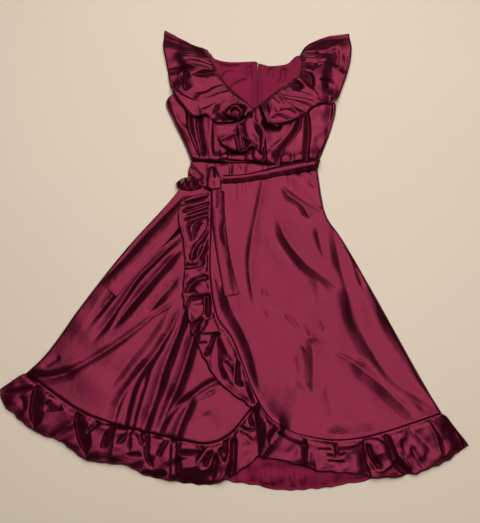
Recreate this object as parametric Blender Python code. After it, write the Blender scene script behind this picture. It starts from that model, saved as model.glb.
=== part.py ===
"""Satin wrap dress with flutter ruffles, laid flat on its back with its front up.

The tables are in centimetres, seen from above: X to the right, Y towards the neck, Z up.
The origin lies on the surface under the middle of the dress. The side that lies to the right
when seen from above is the wearer's left, and the pieces are named for the wearer.
"""
from collections import namedtuple
from math import cos, pi, sin

import bmesh
import bpy
import numpy as np
from mathutils.bvhtree import BVHTree

CM = 0.01

# Walls and clearances
CLOTH = 0.16            # wall of a single cloth, with the seam allowance pressed in
FLAT_CLOTH = 0.14       # wall of the pieces that lie flat on the surface
TAPE = 0.12             # zip tape and the waistband's back
SEAM_GAP = 0.04         # between the edges of two pieces that are sewn together
LAYER_GAP = 0.045       # between a piece and what it lies on
BACK_TOP = FLAT_CLOTH + 0.03            # where a piece that lies on the back starts
BAND_TOP = BACK_TOP + TAPE + 0.03       # where a piece that lies on the tape or the back band starts

# Curves seen from above, each from its first point to its last
SIDE_LEFT = ((-13.4, 15.4), (-20, 7), (-30, -5.5), (-40, -20), (-49, -34.5), (-54, -40))
SIDE_RIGHT = ((25.4, 19.4), (26.3, 10), (27.6, 4), (32, -3.5), (40, -20), (50, -41.5), (54.5, -50.3))
WRAP_EDGE = ((-6, 15.2), (-6, 0), (-5.9, -14), (-4, -25), (0, -31), (3, -38), (6.2, -46),
             (9.5, -51.3), (13, -53.5))
HIDDEN_EDGE = ((5, 16.1), (3, 0), (4.5, -24), (9, -40), (10.5, -45.5))
HEM_OVER = ((13, -53.5), (18, -55.7), (27, -57), (38, -55.4), (54.5, -50.3))
HEM_UNDER = ((-54, -40), (-40, -49.3), (-30, -53), (-15, -56.5), (-6, -57.9), (0, -55.5), (5, -49.8),
             (10.5, -45.5))
HEM_BACK = ((-53.6, -40.6), (-40, -49.8), (-25, -54.6), (-5, -57.8), (18, -58.4), (38, -56),
            (54, -50.6))
WAIST_UNDER = ((-13.4, 15.4), (-6, 15.2), (5, 16.1))
WAIST_OVER = ((-6, 15.2), (5, 16.1), (15, 18), (25.4, 19.4))
WAIST_BACK = ((-13.1, 15.2), (-6, 15.1), (5, 16.1), (15, 18), (25.1, 19.3))
BAND_LOW = ((-12.6, 15.45), (-6, 15.3), (5, 16.2), (15, 18.1), (25.3, 19.5))
BAND_HIGH = ((-12.3, 22.4), (-4, 21.9), (5, 22), (15, 23), (25.9, 24.6))

WRAP_RUFFLE_EDGE = ((-14.6, 9.6), (-15.3, 3.5), (-13.8, -4), (-13.1, -10), (-13.4, -19), (-11.3, -27),
                    (-8, -35), (-3, -43), (3, -47.6), (5.4, -49.2))
OVER_RUFFLE_EDGE = ((6, -50.6), (6.6, -56), (7.6, -61), (13, -62), (22, -64.4), (30, -65), (37, -66.1),
                    (46, -65), (53, -62.6), (60.2, -58.3))
UNDER_RUFFLE_EDGE = ((-60.4, -44.5), (-58.5, -48.6), (-50, -55), (-44, -57), (-36, -62), (-27, -62.9),
                     (-20, -65.6), (-10, -67.2), (-3, -67), (4, -63.4), (9, -59), (12.5, -54.5))
BACK_RUFFLE_EDGE = ((-58.2, -45.6), (-45, -55.6), (-25, -62.2), (-8, -65.8), (4, -67.3), (15, -68.9),
                    (30, -67.3), (40, -64.6), (52, -60.6), (58, -57))

PINCH_ROW = 15          # the over skirt's row where the wrap ruffle ends and the hem ruffle starts
RUFFLE_ROWS = 3
UNDER_RUFFLE_PARTS = 2  # columns of the ruffle to each column of the panel that it is sewn to
OVER_RUFFLE_PARTS = 3
WRAP_RUFFLE_PARTS = 4
RUFFLE_FLARE = 0.7      # below 1 a ruffle rises sooner on its way from the seam
PUCKER = 0.12           # height of the small gathers along a ruffle's seam
PUCKER_STEPS = 3        # columns to half a gather

NECK_RIGHT = ((-7.7, 61.6), (-5.6, 56), (-4, 52), (0, 46.5), (5, 41.7), (9.5, 36), (10.5, 22.5))
ARM_RIGHT = ((-17, 59.4), (-14.6, 54), (-15.4, 48), (-20.5, 43), (-18.2, 36), (-14.5, 28), (-12.4, 22.5))
NECK_LEFT = ((21.5, 60.6), (22, 57), (20.2, 51.5), (15, 47.3), (8, 41), (4.5, 36.5), (0.5, 29), (-4, 22.05))
ARM_LEFT = ((30.2, 58.4), (28.6, 52), (28.6, 46.5), (32, 41.8), (30.4, 34), (27.6, 26.5), (26, 22.6))
SHOULDER_RIGHT = ((-17, 59.4), (-7.7, 61.6))
SHOULDER_LEFT = ((21.5, 60.6), (30.2, 58.4))
HEM_BODICE_RIGHT = ((-12.4, 22.5), (-4, 22), (5, 22.1), (10.5, 22.5))
HEM_BODICE_LEFT = ((-4, 22.05), (4, 22.1), (8.8, 21), (14, 20.7), (20, 21.8), (26, 22.6))

COLLAR_RIGHT_SEAM = ((-8, 61.8), (-5.8, 56), (-4.2, 52), (-0.2, 46.5), (4.8, 41.6))
COLLAR_RIGHT_TOP = ((-8, 61.8), (-11, 62.7), (-18, 66.7), (-22, 69.2))
COLLAR_RIGHT_EDGE = ((-22, 69.2), (-22.4, 64), (-20.9, 56), (-18.8, 46), (-15, 40), (-11.8, 36.8),
                     (-8, 37), (-4.5, 34.4), (0, 35.2))
COLLAR_RIGHT_END = ((4.8, 41.6), (2.4, 38.4), (0, 35.2))
COLLAR_LEFT_SEAM = ((21.7, 60.4), (22.2, 57), (20.4, 51.5), (15.2, 47.3), (8.6, 41.2))
COLLAR_LEFT_TOP = ((21.7, 60.4), (24, 63.6), (30, 66.8), (37.6, 67.9))
COLLAR_LEFT_EDGE = ((37.6, 67.9), (38, 62), (36.9, 55.5), (34.4, 48), (31.6, 42), (26.5, 41), (20.5, 36.4),
                    (15.5, 34.5), (10.6, 34.2))
COLLAR_LEFT_END = ((8.6, 41.2), (9.4, 37.6), (10.6, 34.2))

# The bodice's back: its neck edge, and the centre back with the zip open at the top
BACK_RIGHT_NECK = ((-8, 61.2), (-5.9, 59), (-1, 57.7), (7.3, 57.9))
BACK_LEFT_NECK = ((9, 57), (12, 56.2), (17.3, 57), (21.3, 60.2))
ZIP_GAP_RIGHT = ((7.3, 57.9), (7.65, 57), (7.9, 54.4))
ZIP_GAP_LEFT = ((7.96, 54.4), (8.55, 55.8), (9, 57))
ZIP_FOOT = (7.5, 22.5)  # where the centre back meets the waistband
SHOULDER_TIPS = ((-16.6, 59.1), (29.8, 58.1))
UNDERARM_FEET = ((-12.1, 22.5), (25.6, 24.7))
TAPE_RIGHT = ((6.1, 57.7), (6, 50), (5.6, 23))
TAPE_LEFT = ((9.25, 56.8), (9.3, 50), (9.1, 23))
TAPE_STEP = 0.06        # from the edge of the zip's opening to the tape under it
TAPE_DROP = 0.15        # from the neck edge down to the top of the tape

CASCADE_LEFT = ((-5, 33.6), (-4.4, 29.6), (-2.6, 27.2), (0.4, 24.7))
CASCADE_RIGHT = ((6.3, 35.6), (9.8, 30), (8.8, 23.4))
CASCADE_TOP = ((-5, 33.6), (0.5, 34), (6.3, 35.6))
CASCADE_HEM = ((0.4, 24.7), (3.6, 24.7), (6, 26.2), (8.8, 23.4))

# The curl at the top of the cascade: an open cup, from its foot to its rim
CURL_CENTRE = (1.2, 38.1)
CURL_FOOT = (1.6, 1.0)
CURL_RIM = (5.0, 3.3)
CURL_START = -0.15 * pi
CURL_SWEEP = 1.9 * pi
CURL_RISE = 1.9
CURL_FLARE = 0.7        # below 1 the cup's wall is steeper at its foot
CURL_ROWS = 3
CURL_STEPS = 18

BELT_HIGH = ((-2.6, 16.8), (4, 17.5), (12, 19.7), (20, 21.6), (26.3, 22.4))
BELT_LOW = ((-2.6, 13.9), (4, 14.8), (14, 17), (25.3, 19.4))
BELT_SIDE_HIGH = ((-12.3, 21.9), (-10.3, 19.7), (-8.2, 17.6))
BELT_SIDE_LOW = ((-13, 18.2), (-11.4, 16.6), (-8.9, 15))
BELT_WIDTH = 3.0        # of the belt's back, seen from above
BELT_STEP = 0.5         # from the skirt's waist seam to the belt's back
BACK_INSET = 0.35       # how far the back skirt's sides stay inside the front's
ARM_INSET = 0.3         # how far the back's armholes and the back waistband do
BAND_MIDDLE = 6         # x of the middle of the waistband
KNOT_TOP = ((-7.3, 19.3), (-6, 19.9), (-4.6, 19.5))
KNOT_FOOT = ((-8.6, 13), (-6, 12), (-3, 12.4))
KNOT_LEFT = ((-7.3, 19.3), (-7.6, 16), (-8.6, 13))
KNOT_RIGHT = ((-4.6, 19.5), (-3.4, 16), (-3, 12.4))
LOOP_HIGH = ((-16.5, 15.2), (-14.6, 16.8), (-12, 16.5), (-9, 15.2))
LOOP_LOW = ((-16, 13), (-14.2, 12.3), (-11.6, 12.2), (-8.9, 13))
TAIL_LONG_LEFT = ((-5.9, 11.6), (-5.6, 2), (-4, -9), (-1.8, -19.8))
TAIL_LONG_RIGHT = ((-2.2, 11.6), (-1.8, 2), (-0.2, -9), (2.2, -18.8))
TAIL_SIDE_LEFT = ((-15.6, 7.2), (-20, 1.2), (-24.6, -4.6), (-30, -10.8), (-35.3, -16.2))
TAIL_SIDE_RIGHT = ((-12, 4.6), (-17, -2), (-22.4, -8.6), (-27, -14), (-31.4, -19.7))

# Folds of the panels: the crest's path, how wide the fold is from crest to foot, and how far
# it rises (or sinks, where negative) from the cloth around it
Fold = namedtuple("Fold", "path width rise")
OVER_SKIRT_FOLDS = (
    Fold(((9, 16), (7, 5), (5, -8), (6.4, -21)), 2.0, -0.75),
    Fold(((1, 15), (1.5, 0), (0, -18)), 3.0, 0.35),
    Fold(((14.5, 16), (20, 9.5), (27, 5.6)), 1.6, 0.7),
    Fold(((15.6, 13), (20.5, 6.5)), 1.5, -0.6),
    Fold(((14, 1), (18.6, -9), (24, -14), (27.5, -16)), 2.4, -0.85),
    Fold(((28.4, 0), (30.4, -12), (33.2, -25), (38.5, -37), (50, -47.6)), 2.2, -0.95),
    Fold(((30.2, -2), (33, -14), (37, -27), (44, -40)), 2.2, 0.5),
    Fold(((31.6, -4), (33.4, -12), (36, -19)), 1.5, -0.8),
    Fold(((38, -22), (44.5, -35), (50, -44)), 2.2, -0.6),
    Fold(((30, -36), (37, -40), (43, -49)), 2.6, -0.5),
    Fold(((1, -28), (4.6, -36), (8, -45)), 2.4, -0.6),
    Fold(((10, 0), (12, -20), (20, -50)), 7.0, 0.5),
)
UNDER_SKIRT_FOLDS = (
    Fold(((-13, 13), (-20, 5.6), (-28, -4), (-36, -15)), 1.6, 0.9),
    Fold(((-15, 9), (-21, 2.4), (-28, -6.6), (-35, -15.4)), 1.8, -0.7),
    Fold(((-14, -5), (-24, -15), (-33, -29)), 1.7, -0.8),
    Fold(((-13, -10), (-22, -22), (-30, -38)), 1.8, -0.8),
    Fold(((-12, -7), (-22, -18), (-32, -33)), 1.6, 0.6),
    Fold(((-16, -22), (-30, -31.5), (-49, -41.6)), 1.7, 0.5),
    Fold(((-13, -23), (-21, -37), (-28, -52)), 1.6, -0.9),
    Fold(((-12.4, -23), (-19.5, -38), (-26, -52.6)), 1.4, 0.9),
    Fold(((-11.5, -26), (-17, -40), (-21.6, -53)), 1.6, -0.9),
    Fold(((-10.6, -27), (-15.2, -41), (-19.4, -54)), 1.4, 0.9),
    Fold(((-3, -42.5), (-9, -45.5), (-17.6, -54)), 1.5, 0.8),
    Fold(((-9.6, -31), (-12.6, -42), (-16, -50)), 1.7, -0.7),
)
BODICE_RIGHT_FOLDS = (
    Fold(((-18, 41), (-12.6, 30), (-9, 23.4)), 1.8, 0.8),
    Fold(((-11, 38), (-10.6, 30), (-8.4, 24)), 2.0, -0.8),
    Fold(((-6.8, 35), (-6.6, 28), (-6, 23.4)), 1.4, 0.8),
)
BODICE_LEFT_FOLDS = (
    Fold(((18, 35), (12.6, 28), (10.8, 22)), 1.7, 0.9),
    Fold(((20.6, 37), (15, 27.5), (13, 22)), 1.8, -0.9),
    Fold(((21.6, 33), (17, 24), (16, 22)), 1.6, 0.8),
    Fold(((22.4, 37), (22, 29), (21.6, 22.6)), 1.6, -0.9),
    Fold(((25, 38), (25, 31), (24.6, 24)), 2.2, 0.5),
    Fold(((13, 34), (10, 28), (9.4, 22)), 1.6, -0.7),
)
COLLAR_RIGHT_FOLDS = (
    Fold(((-8, 61.6), (-15, 63.6), (-21, 66.6)), 1.8, 0.7),
    Fold(((-6.6, 59), (-14, 61), (-21, 62.4)), 2.0, -0.8),
    Fold(((-5.8, 56), (-12, 57.6), (-20.6, 58)), 1.8, 0.8),
    Fold(((-5, 54), (-12, 54), (-19, 52)), 1.6, -0.7),
    Fold(((-4.4, 52), (-11, 51), (-18.6, 48)), 1.6, 0.9),
    Fold(((-2, 47.5), (-9, 45), (-16, 42)), 2.0, -0.7),
    Fold(((0, 45.5), (-6, 42.4), (-11, 38.4)), 1.8, 0.9),
    Fold(((2, 43.5), (-3, 40), (-8, 37.6)), 1.5, -0.6),
)
COLLAR_LEFT_FOLDS = (
    Fold(((22, 60.4), (29, 65), (36, 67)), 1.6, 0.6),
    Fold(((22.4, 59.6), (29, 63), (37, 64)), 1.8, -0.7),
    Fold(((22.4, 58), (29, 60.4), (37.4, 60)), 2.0, 0.9),
    Fold(((22, 56), (28, 56), (36.6, 55)), 1.8, -0.9),
    Fold(((21.6, 53.6), (28, 51.6), (35.4, 50.4)), 2.0, 0.9),
    Fold(((19.6, 50.6), (26, 47.4), (33.6, 46)), 2.0, -0.8),
    Fold(((17, 48.6), (22, 46), (29.6, 42.4)), 1.7, 0.9),
    Fold(((15, 47), (19.6, 43.4), (24, 39.4)), 1.6, -0.8),
    Fold(((12.6, 45), (16, 41), (19, 36)), 1.6, 0.9),
    Fold(((11, 43.4), (13, 39), (14.4, 35)), 1.5, -0.6),
)
CASCADE_FOLDS = (
    Fold(((-4.6, 33), (-3, 30), (0.4, 31.6)), 1.0, 0.7),
    Fold(((-2.6, 28), (0.6, 25.6), (5, 26.4), (4, 31)), 1.0, 0.9),
    Fold(((2.6, 30), (3, 27.6)), 1.4, -0.6),
    Fold(((6.4, 35), (9, 30.6), (8.4, 25)), 1.0, 0.9),
)

# Folds of the ruffles: where along the ruffle the crest stands (0 to 1), half the fold's width as a
# share of the ruffle, how high it rises at the free edge, and how far its crest leans along the ruffle
Flute = namedtuple("Flute", "at half rise lean")
WRAP_FLUTES = (
    Flute(0.03, 0.022, 1.0, -0.3),
    Flute(0.085, 0.025, 1.1, -0.3),
    Flute(0.145, 0.028, 1.2, -0.3),
    Flute(0.22, 0.036, 1.7, -0.5),
    Flute(0.315, 0.034, 1.3, 0.3),
    Flute(0.395, 0.03, 1.6, 0.3),
    Flute(0.485, 0.045, 2.0, 0.0),
    Flute(0.585, 0.035, 1.4, -0.3),
    Flute(0.665, 0.034, 1.7, 0.2),
    Flute(0.755, 0.034, 1.5, 0.3),
    Flute(0.845, 0.034, 1.6, 0.2),
    Flute(0.93, 0.03, 1.2, 0.0),
)
OVER_FLUTES = (
    Flute(0.06, 0.045, 1.5, 0.2),
    Flute(0.19, 0.05, 1.6, 0.3),
    Flute(0.31, 0.042, 1.2, -0.3),
    Flute(0.42, 0.05, 1.6, 0.3),
    Flute(0.53, 0.04, 1.1, 0.0),
    Flute(0.645, 0.05, 1.8, -0.4),
    Flute(0.76, 0.05, 1.8, 0.4),
    Flute(0.89, 0.05, 1.9, 0.3),
)
UNDER_FLUTES = (
    Flute(0.04, 0.04, 1.5, 0.2),
    Flute(0.135, 0.04, 1.9, -0.4),
    Flute(0.235, 0.04, 1.6, 0.3),
    Flute(0.335, 0.04, 2.0, -0.4),
    Flute(0.43, 0.036, 1.4, 0.3),
    Flute(0.515, 0.034, 1.5, -0.2),
    Flute(0.6, 0.034, 1.8, 0.3),
    Flute(0.69, 0.034, 1.7, -0.3),
    Flute(0.775, 0.032, 1.4, 0.2),
    Flute(0.86, 0.03, 1.2, 0.0),
)

# The mesh of each shaped piece: its columns and rows, how high it stands off in the middle, and
# how high at its border
Mesh = namedtuple("Mesh", "columns rows crown edge")
MESHES = {
    "waistband_front": Mesh(14, 2, 0.25, 0),
    "skirt_front_under": Mesh(28, 9, 0.9, 0.1),
    "skirt_front_over": Mesh(16, 17, 1.0, 0.1),
    "bodice_front_right": Mesh(9, 11, 0.9, 0.1),
    "bodice_front_left": Mesh(11, 11, 1.0, 0.1),
    "collar_ruffle_right": Mesh(5, 23, 1.0, 0.1),
    "collar_ruffle_left": Mesh(5, 23, 1.0, 0.1),
    "cascade_ruffle": Mesh(9, 8, 0.8, 0.5),
    "belt_side": Mesh(4, 2, 0.2, 0),
    "belt_front": Mesh(16, 3, 0.3, 0),
    "belt_loop": Mesh(7, 4, 1.1, 0),
    "belt_tail_side": Mesh(10, 2, 0.25, 0),
    "belt_tail_long": Mesh(14, 2, 0.3, 0),
    "belt_knot": Mesh(7, 7, 1.9, 0.5),
}
CURVE_STEPS = 24        # between two points of a smooth curve, before it is spaced evenly
PATH_STEPS = 16         # of a fold's path
BAND_STEPS = 12         # of the outlines of the back waistband and the belt's back
PUFF_POWER = 0.5        # below 1 a panel rises sooner from its border
REST_SAMPLES = 9        # parts of a triangle's side, where a piece is laid on the pile
REST_PASSES = 60
REST_DONE = 1e-6        # metres still lacking when a piece lies clear
FOLD_FULL = 0.5         # folds are at their full height where the air reaches this share of the crown

# Finish of the cloth: colour (linear) and roughness
SATIN = ((0.27, 0.028, 0.078), 0.34)
SATIN_BACK = ((0.17, 0.02, 0.055), 0.6)
TAPE_FINISH = ((0.2, 0.025, 0.06), 0.8)


def smooth(points, count):
    """count + 1 points, evenly spaced along a smooth curve through the given points."""
    knots = np.array(points, float)
    if len(knots) == 2:
        share = np.linspace(0, 1, count + 1)[:, None]
        return knots[0] * (1 - share) + knots[1] * share
    padded = np.vstack([2 * knots[0] - knots[1], knots, 2 * knots[-1] - knots[-2]])
    fine = []
    for start in range(len(knots) - 1):
        before, here, there, after = padded[start:start + 4]
        for step in np.linspace(0, 1, CURVE_STEPS, endpoint=False):
            fine.append(0.5 * (2 * here + (there - before) * step
                               + (2 * before - 5 * here + 4 * there - after) * step ** 2
                               + (3 * here - before - 3 * there + after) * step ** 3))
    return resample(np.vstack([fine, knots[-1]]), count)


def resample(points, count):
    """count + 1 points, evenly spaced along a run of straight pieces."""
    length = np.concatenate([[0], np.cumsum(np.linalg.norm(np.diff(points, axis=0), axis=1))])
    stations = np.linspace(0, length[-1], count + 1)
    return np.stack([np.interp(stations, length, column) for column in points.T], axis=1)


def refine(points, parts):
    """The same run of straight pieces, with each piece cut into equal parts."""
    steps = np.arange(len(points) * parts - parts + 1) / parts
    return np.stack([np.interp(steps, np.arange(len(points)), column) for column in points.T], axis=1)


def patch(top, hem, left, right, columns, rows):
    """A grid of points, rows from top to hem, that meets four curves (a Coons patch)."""
    top, hem = smooth(top, columns), smooth(hem, columns)
    left, right = smooth(left, rows), smooth(right, rows)
    across = np.linspace(0, 1, columns + 1)[None, :, None]
    down = np.linspace(0, 1, rows + 1)[:, None, None]
    ruled = top[None] * (1 - down) + hem[None] * down
    lofted = left[:, None] * (1 - across) + right[:, None] * across
    corners = (top[0] * (1 - across) + top[-1] * across) * (1 - down)
    corners = corners + (hem[0] * (1 - across) + hem[-1] * across) * down
    return ruled + lofted - corners


def fold_height(plan, folds):
    """How far the folds raise or sink each point of a plan."""
    height = np.zeros(plan.shape[:-1])
    for fold in folds:
        path = smooth(fold.path, PATH_STEPS)
        offset = plan[..., None, :] - path
        nearest = np.sqrt((offset ** 2).sum(-1)).min(-1)
        height += fold.rise * np.exp(-(nearest / fold.width) ** 2)
    return height


def puffed(grid, crown, edge):
    """Air under a panel: crown high in the middle, and only edge high at the border."""
    rows, columns = grid.shape[:2]
    down = np.sin(np.linspace(0, pi, rows))[:, None] ** PUFF_POWER
    across = np.sin(np.linspace(0, pi, columns))[None, :] ** PUFF_POWER
    return edge + (crown - edge) * down * across


def panel(sides, folds, start, cut):
    """The points of a panel in folds, no lower than start; its sides are top, hem, left and right."""
    plan = patch(*sides, cut.columns, cut.rows)
    air = puffed(plan, cut.crown, cut.edge)
    full = np.minimum(1, air / (FOLD_FULL * cut.crown))
    return np.dstack([plan, start + np.maximum(air + fold_height(plan, folds) * full, 0)])


def step_off(seam, far, gap):
    """A seam line moved by gap towards the far edge, so that two sewn pieces don't touch."""
    along = np.gradient(seam[:, :2], axis=0)
    across = np.stack([along[:, 1], -along[:, 0]], axis=1)
    across /= np.linalg.norm(across, axis=1)[:, None]
    facing = np.sign(((far[:, :2] - seam[:, :2]) * across).sum(1))
    facing[facing == 0] = 1
    middle = np.sign(facing.sum())
    moved = seam.copy()
    moved[:, :2] += across * middle * gap
    return moved


def ruffle(seam, edge, flutes):
    """The points of a ruffle from its seam to its free edge, rising into flutes on the way."""
    columns = len(seam) - 1
    free = smooth(edge, columns)
    seam = step_off(seam, free, SEAM_GAP)
    at = np.linspace(0, 1, columns + 1)
    wave = np.zeros(columns + 1)
    lean = np.zeros(columns + 1)
    for flute in flutes:
        bump = np.exp(-((at - flute.at) / flute.half) ** 2)
        wave += flute.rise * bump
        lean += flute.lean * bump
    along = np.gradient(free, axis=0)
    along /= np.linalg.norm(along, axis=1)[:, None]
    grid = []
    for row in range(RUFFLE_ROWS + 1):
        out = row / RUFFLE_ROWS
        plan = seam[:, :2] * (1 - out) + free * out + along * (lean * sin(pi * out / 2) * out)[:, None]
        height = seam[:, 2] * (1 - out) + BACK_TOP * out + wave * out ** RUFFLE_FLARE
        height += PUCKER * sin(pi * out) * np.cos(at * pi * columns / PUCKER_STEPS)
        grid.append(np.column_stack([plan, np.maximum(height, BACK_TOP)]))
    return np.array(grid)


class Pile:
    """The pieces laid so far, which the next ones rest on."""

    def __init__(self):
        self.trees = {}

    def add(self, obj):
        """Remember a piece by its name."""
        corners = [vertex.co.copy() for vertex in obj.data.vertices]
        faces = [tuple(face.vertices) for face in obj.data.polygons]
        self.trees[obj.name] = BVHTree.FromPolygons(corners, faces)

    def height(self, x, y, sewn_to):
        """The top of the pile at a point in metres, without the pieces that are sewn on there."""
        best = -1.0
        for name, tree in self.trees.items():
            if name in sewn_to:
                continue
            hit = tree.ray_cast((x, y, 1.0), (0, 0, -1))[0]
            if hit is not None:
                best = max(best, hit.z)
        return best


def barycentric(parts):
    """Even samples over a triangle, as shares of its three corners."""
    shares = [(i, j, parts - i - j) for i in range(parts + 1) for j in range(parts + 1 - i)]
    return np.array(shares, float) / parts


def rest(points, triangles, pile, sewn_to):
    """Raise points in metres until every triangle clears the pile by the layer gap."""
    shares = barycentric(REST_SAMPLES)
    samples = np.einsum("kc,tcd->tkd", shares, points[triangles])
    floor = np.array([[pile.height(x, y, sewn_to) for x, y, _ in row] for row in samples])
    floor += LAYER_GAP * CM
    heights = points[:, 2].copy()
    weight = (shares ** 2).sum(1)
    for _ in range(REST_PASSES):
        lack = floor - heights[triangles] @ shares.T
        worst = lack.argmax(1)
        depth = np.maximum(lack[np.arange(len(triangles)), worst], 0)
        if depth.max() < REST_DONE:
            break
        lift = np.zeros_like(heights)
        raise_by = depth[:, None] * shares[worst] / weight[worst][:, None]
        np.maximum.at(lift, triangles, raise_by)
        heights += lift
    points[:, 2] = heights + max(0, (floor - heights[triangles] @ shares.T).max())
    return points


def material(name, finish):
    """A plain finish for one piece."""
    colour, roughness = finish
    made = bpy.data.materials.new(name + "_cloth")
    made.use_nodes = True
    shader = made.node_tree.nodes["Principled BSDF"]
    shader.inputs["Base Color"].default_value = (*colour, 1)
    shader.inputs["Roughness"].default_value = roughness
    shader.inputs["Metallic"].default_value = 0
    return made


def add_object(name, data, finish, collection):
    """An object in the dress's collection, with a material of its own."""
    obj = bpy.data.objects.new(name, data)
    data.materials.append(material(name, finish))
    collection.objects.link(obj)
    return obj


class Dress:
    """Lays one piece after another into the dress's collection."""

    def __init__(self):
        self.collection = bpy.data.collections.new("satin_wrap_dress")
        bpy.context.scene.collection.children.link(self.collection)
        self.pile = Pile()

    def cloth(self, name, grid, wall=CLOTH, finish=SATIN, sewn_to=()):
        """A wall of cloth whose underside runs through a grid of points."""
        rows, columns = grid.shape[:2]
        mesh = bmesh.new()
        bmesh.ops.create_grid(mesh, x_segments=columns - 1, y_segments=rows - 1, size=1)
        bmesh.ops.triangulate(mesh, faces=mesh.faces, quad_method="FIXED")
        mesh.verts.ensure_lookup_table()
        triangles = np.array([[corner.index for corner in face.verts] for face in mesh.faces])
        points = grid.reshape(-1, 3) * CM
        if self.pile.trees:
            points = rest(points, triangles, self.pile, sewn_to)
        for vertex, point in zip(mesh.verts, points):
            vertex.co = point
        extruded = bmesh.ops.extrude_face_region(mesh, geom=mesh.faces[:] + mesh.edges[:] + mesh.verts[:])
        raised = [item for item in extruded["geom"] if isinstance(item, bmesh.types.BMVert)]
        walls = np.broadcast_to(wall, grid.shape[:2]).ravel()
        for vertex, height in zip(raised, walls):
            vertex.co.z += height * CM
        bmesh.ops.recalc_face_normals(mesh, faces=mesh.faces)
        data = bpy.data.meshes.new(name)
        mesh.to_mesh(data)
        mesh.free()
        obj = add_object(name, data, finish, self.collection)
        self.pile.add(obj)
        return obj

    def flat(self, name, outline, wall=FLAT_CLOTH, low=0.0, finish=SATIN):
        """A flat piece cut to an outline, its underside low above the surface."""
        data = bpy.data.curves.new(name, "CURVE")
        data.dimensions = "2D"
        data.fill_mode = "BOTH"
        data.extrude = wall * CM / 2
        spline = data.splines.new("POLY")
        spline.points.add(len(outline) - 1)
        for target, (x, y) in zip(spline.points, outline):
            target.co = (x * CM, y * CM, 0, 1)
        spline.use_cyclic_u = True
        obj = add_object(name, data, finish, self.collection)
        obj.location.z = (low + wall / 2) * CM
        return obj


def outline(*sides):
    """A closed outline from smooth sides that meet at corners, each side with its count of steps."""
    points = []
    for points_of_side, count in sides:
        points.extend(smooth(points_of_side, count)[:-1])
    return np.array(points)


def backwards(points):
    """A curve taken from its last point to its first."""
    return tuple(reversed(points))


def offset_curve(points, count, gap):
    """A smooth curve moved sideways, to the left of its direction."""
    line = smooth(points, count)
    along = np.gradient(line, axis=0)
    along /= np.linalg.norm(along, axis=1)[:, None]
    return line + np.stack([-along[:, 1], along[:, 0]], axis=1) * gap


def inset(points, centre, amount):
    """A curve drawn in towards a centre line at x = centre."""
    return tuple((x + amount * (1 if x < centre else -1), y) for x, y in points)


def add_back(dress):
    """The pieces that lie flat on the surface: skirt back, back hem ruffle, bodice backs and tapes."""
    left = inset(SIDE_LEFT[1:-1], 0, BACK_INSET)
    right = inset(SIDE_RIGHT[1:-1], 0, BACK_INSET)
    hem = HEM_BACK
    dress.flat("skirt_back", outline(
        (WAIST_BACK, 6), ((WAIST_BACK[-1],) + right + (hem[-1],), 14),
        (backwards(hem), 18), ((hem[0],) + backwards(left) + (WAIST_BACK[0],), 14)))
    seam = offset_curve(hem, 18, -SEAM_GAP)
    rim = smooth(BACK_RUFFLE_EDGE, 24)
    dress.flat("hem_ruffle_back", np.vstack([seam, rim[::-1]]), finish=SATIN_BACK)

    foot_right, foot_left = ZIP_FOOT, (ZIP_FOOT[0] + SEAM_GAP, ZIP_FOOT[1])
    arm_right = (UNDERARM_FEET[0],) + inset(backwards(ARM_RIGHT[1:-1]), 0, ARM_INSET) + (SHOULDER_TIPS[0],)
    arm_left = (SHOULDER_TIPS[1],) + inset(ARM_LEFT[1:-1], 0, ARM_INSET) + (UNDERARM_FEET[1],)
    dress.flat("bodice_back_right", outline(
        (BACK_RIGHT_NECK, 6), (ZIP_GAP_RIGHT, 3), ((ZIP_GAP_RIGHT[-1], foot_right), 1),
        ((foot_right, UNDERARM_FEET[0]), 1), (arm_right, 14), ((SHOULDER_TIPS[0], BACK_RIGHT_NECK[0]), 1)),
        finish=SATIN_BACK)
    dress.flat("bodice_back_left", outline(
        (BACK_LEFT_NECK, 6), ((BACK_LEFT_NECK[-1], SHOULDER_TIPS[1]), 1), (arm_left, 14),
        ((UNDERARM_FEET[1], foot_left), 1), ((foot_left, ZIP_GAP_LEFT[0]), 1), (ZIP_GAP_LEFT, 3)),
        finish=SATIN_BACK)
    for name, gap, foot, edge, step in (
            ("zip_tape_right", ZIP_GAP_RIGHT, foot_right, TAPE_RIGHT, -TAPE_STEP),
            ("zip_tape_left", backwards(ZIP_GAP_LEFT), foot_left, TAPE_LEFT, TAPE_STEP)):
        inner = [(x + step, y - TAPE_DROP) for x, y in gap] + [(foot[0] + step, edge[-1][1])]
        dress.flat(name, np.vstack([inner, edge[::-1]]), TAPE, BACK_TOP, TAPE_FINISH)


def strip(low, high, start, cut):
    """The points of a band between its lower and its upper curve, arched in the middle."""
    below, above = smooth(low, cut.columns), smooth(high, cut.columns)
    share = np.linspace(0, 1, cut.rows + 1)[:, None, None]
    plan = above[None] * (1 - share) + below[None] * share
    arch = cut.crown * np.sin(pi * share[..., 0]) * np.ones(cut.columns + 1)
    return np.dstack([plan, start + arch])


def add_waist(dress):
    """The back of the waistband, the zip tapes and the front of the waistband."""
    upper = inset(smooth(BAND_HIGH, BAND_STEPS), BAND_MIDDLE, ARM_INSET)
    lower = inset(smooth(BAND_LOW, BAND_STEPS)[::-1], BAND_MIDDLE, ARM_INSET)
    dress.flat("waistband_back", np.vstack([upper, lower]), TAPE, BACK_TOP)
    low = [(x, y + BELT_STEP) for x, y in smooth(WAIST_BACK, BAND_STEPS)]
    high = [(x, y + BELT_WIDTH) for x, y in low]
    dress.flat("belt_back", np.vstack([low, high[::-1]]))
    dress.cloth("waistband_front", strip(BAND_LOW, BAND_HIGH, BAND_TOP, MESHES["waistband_front"]))


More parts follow.
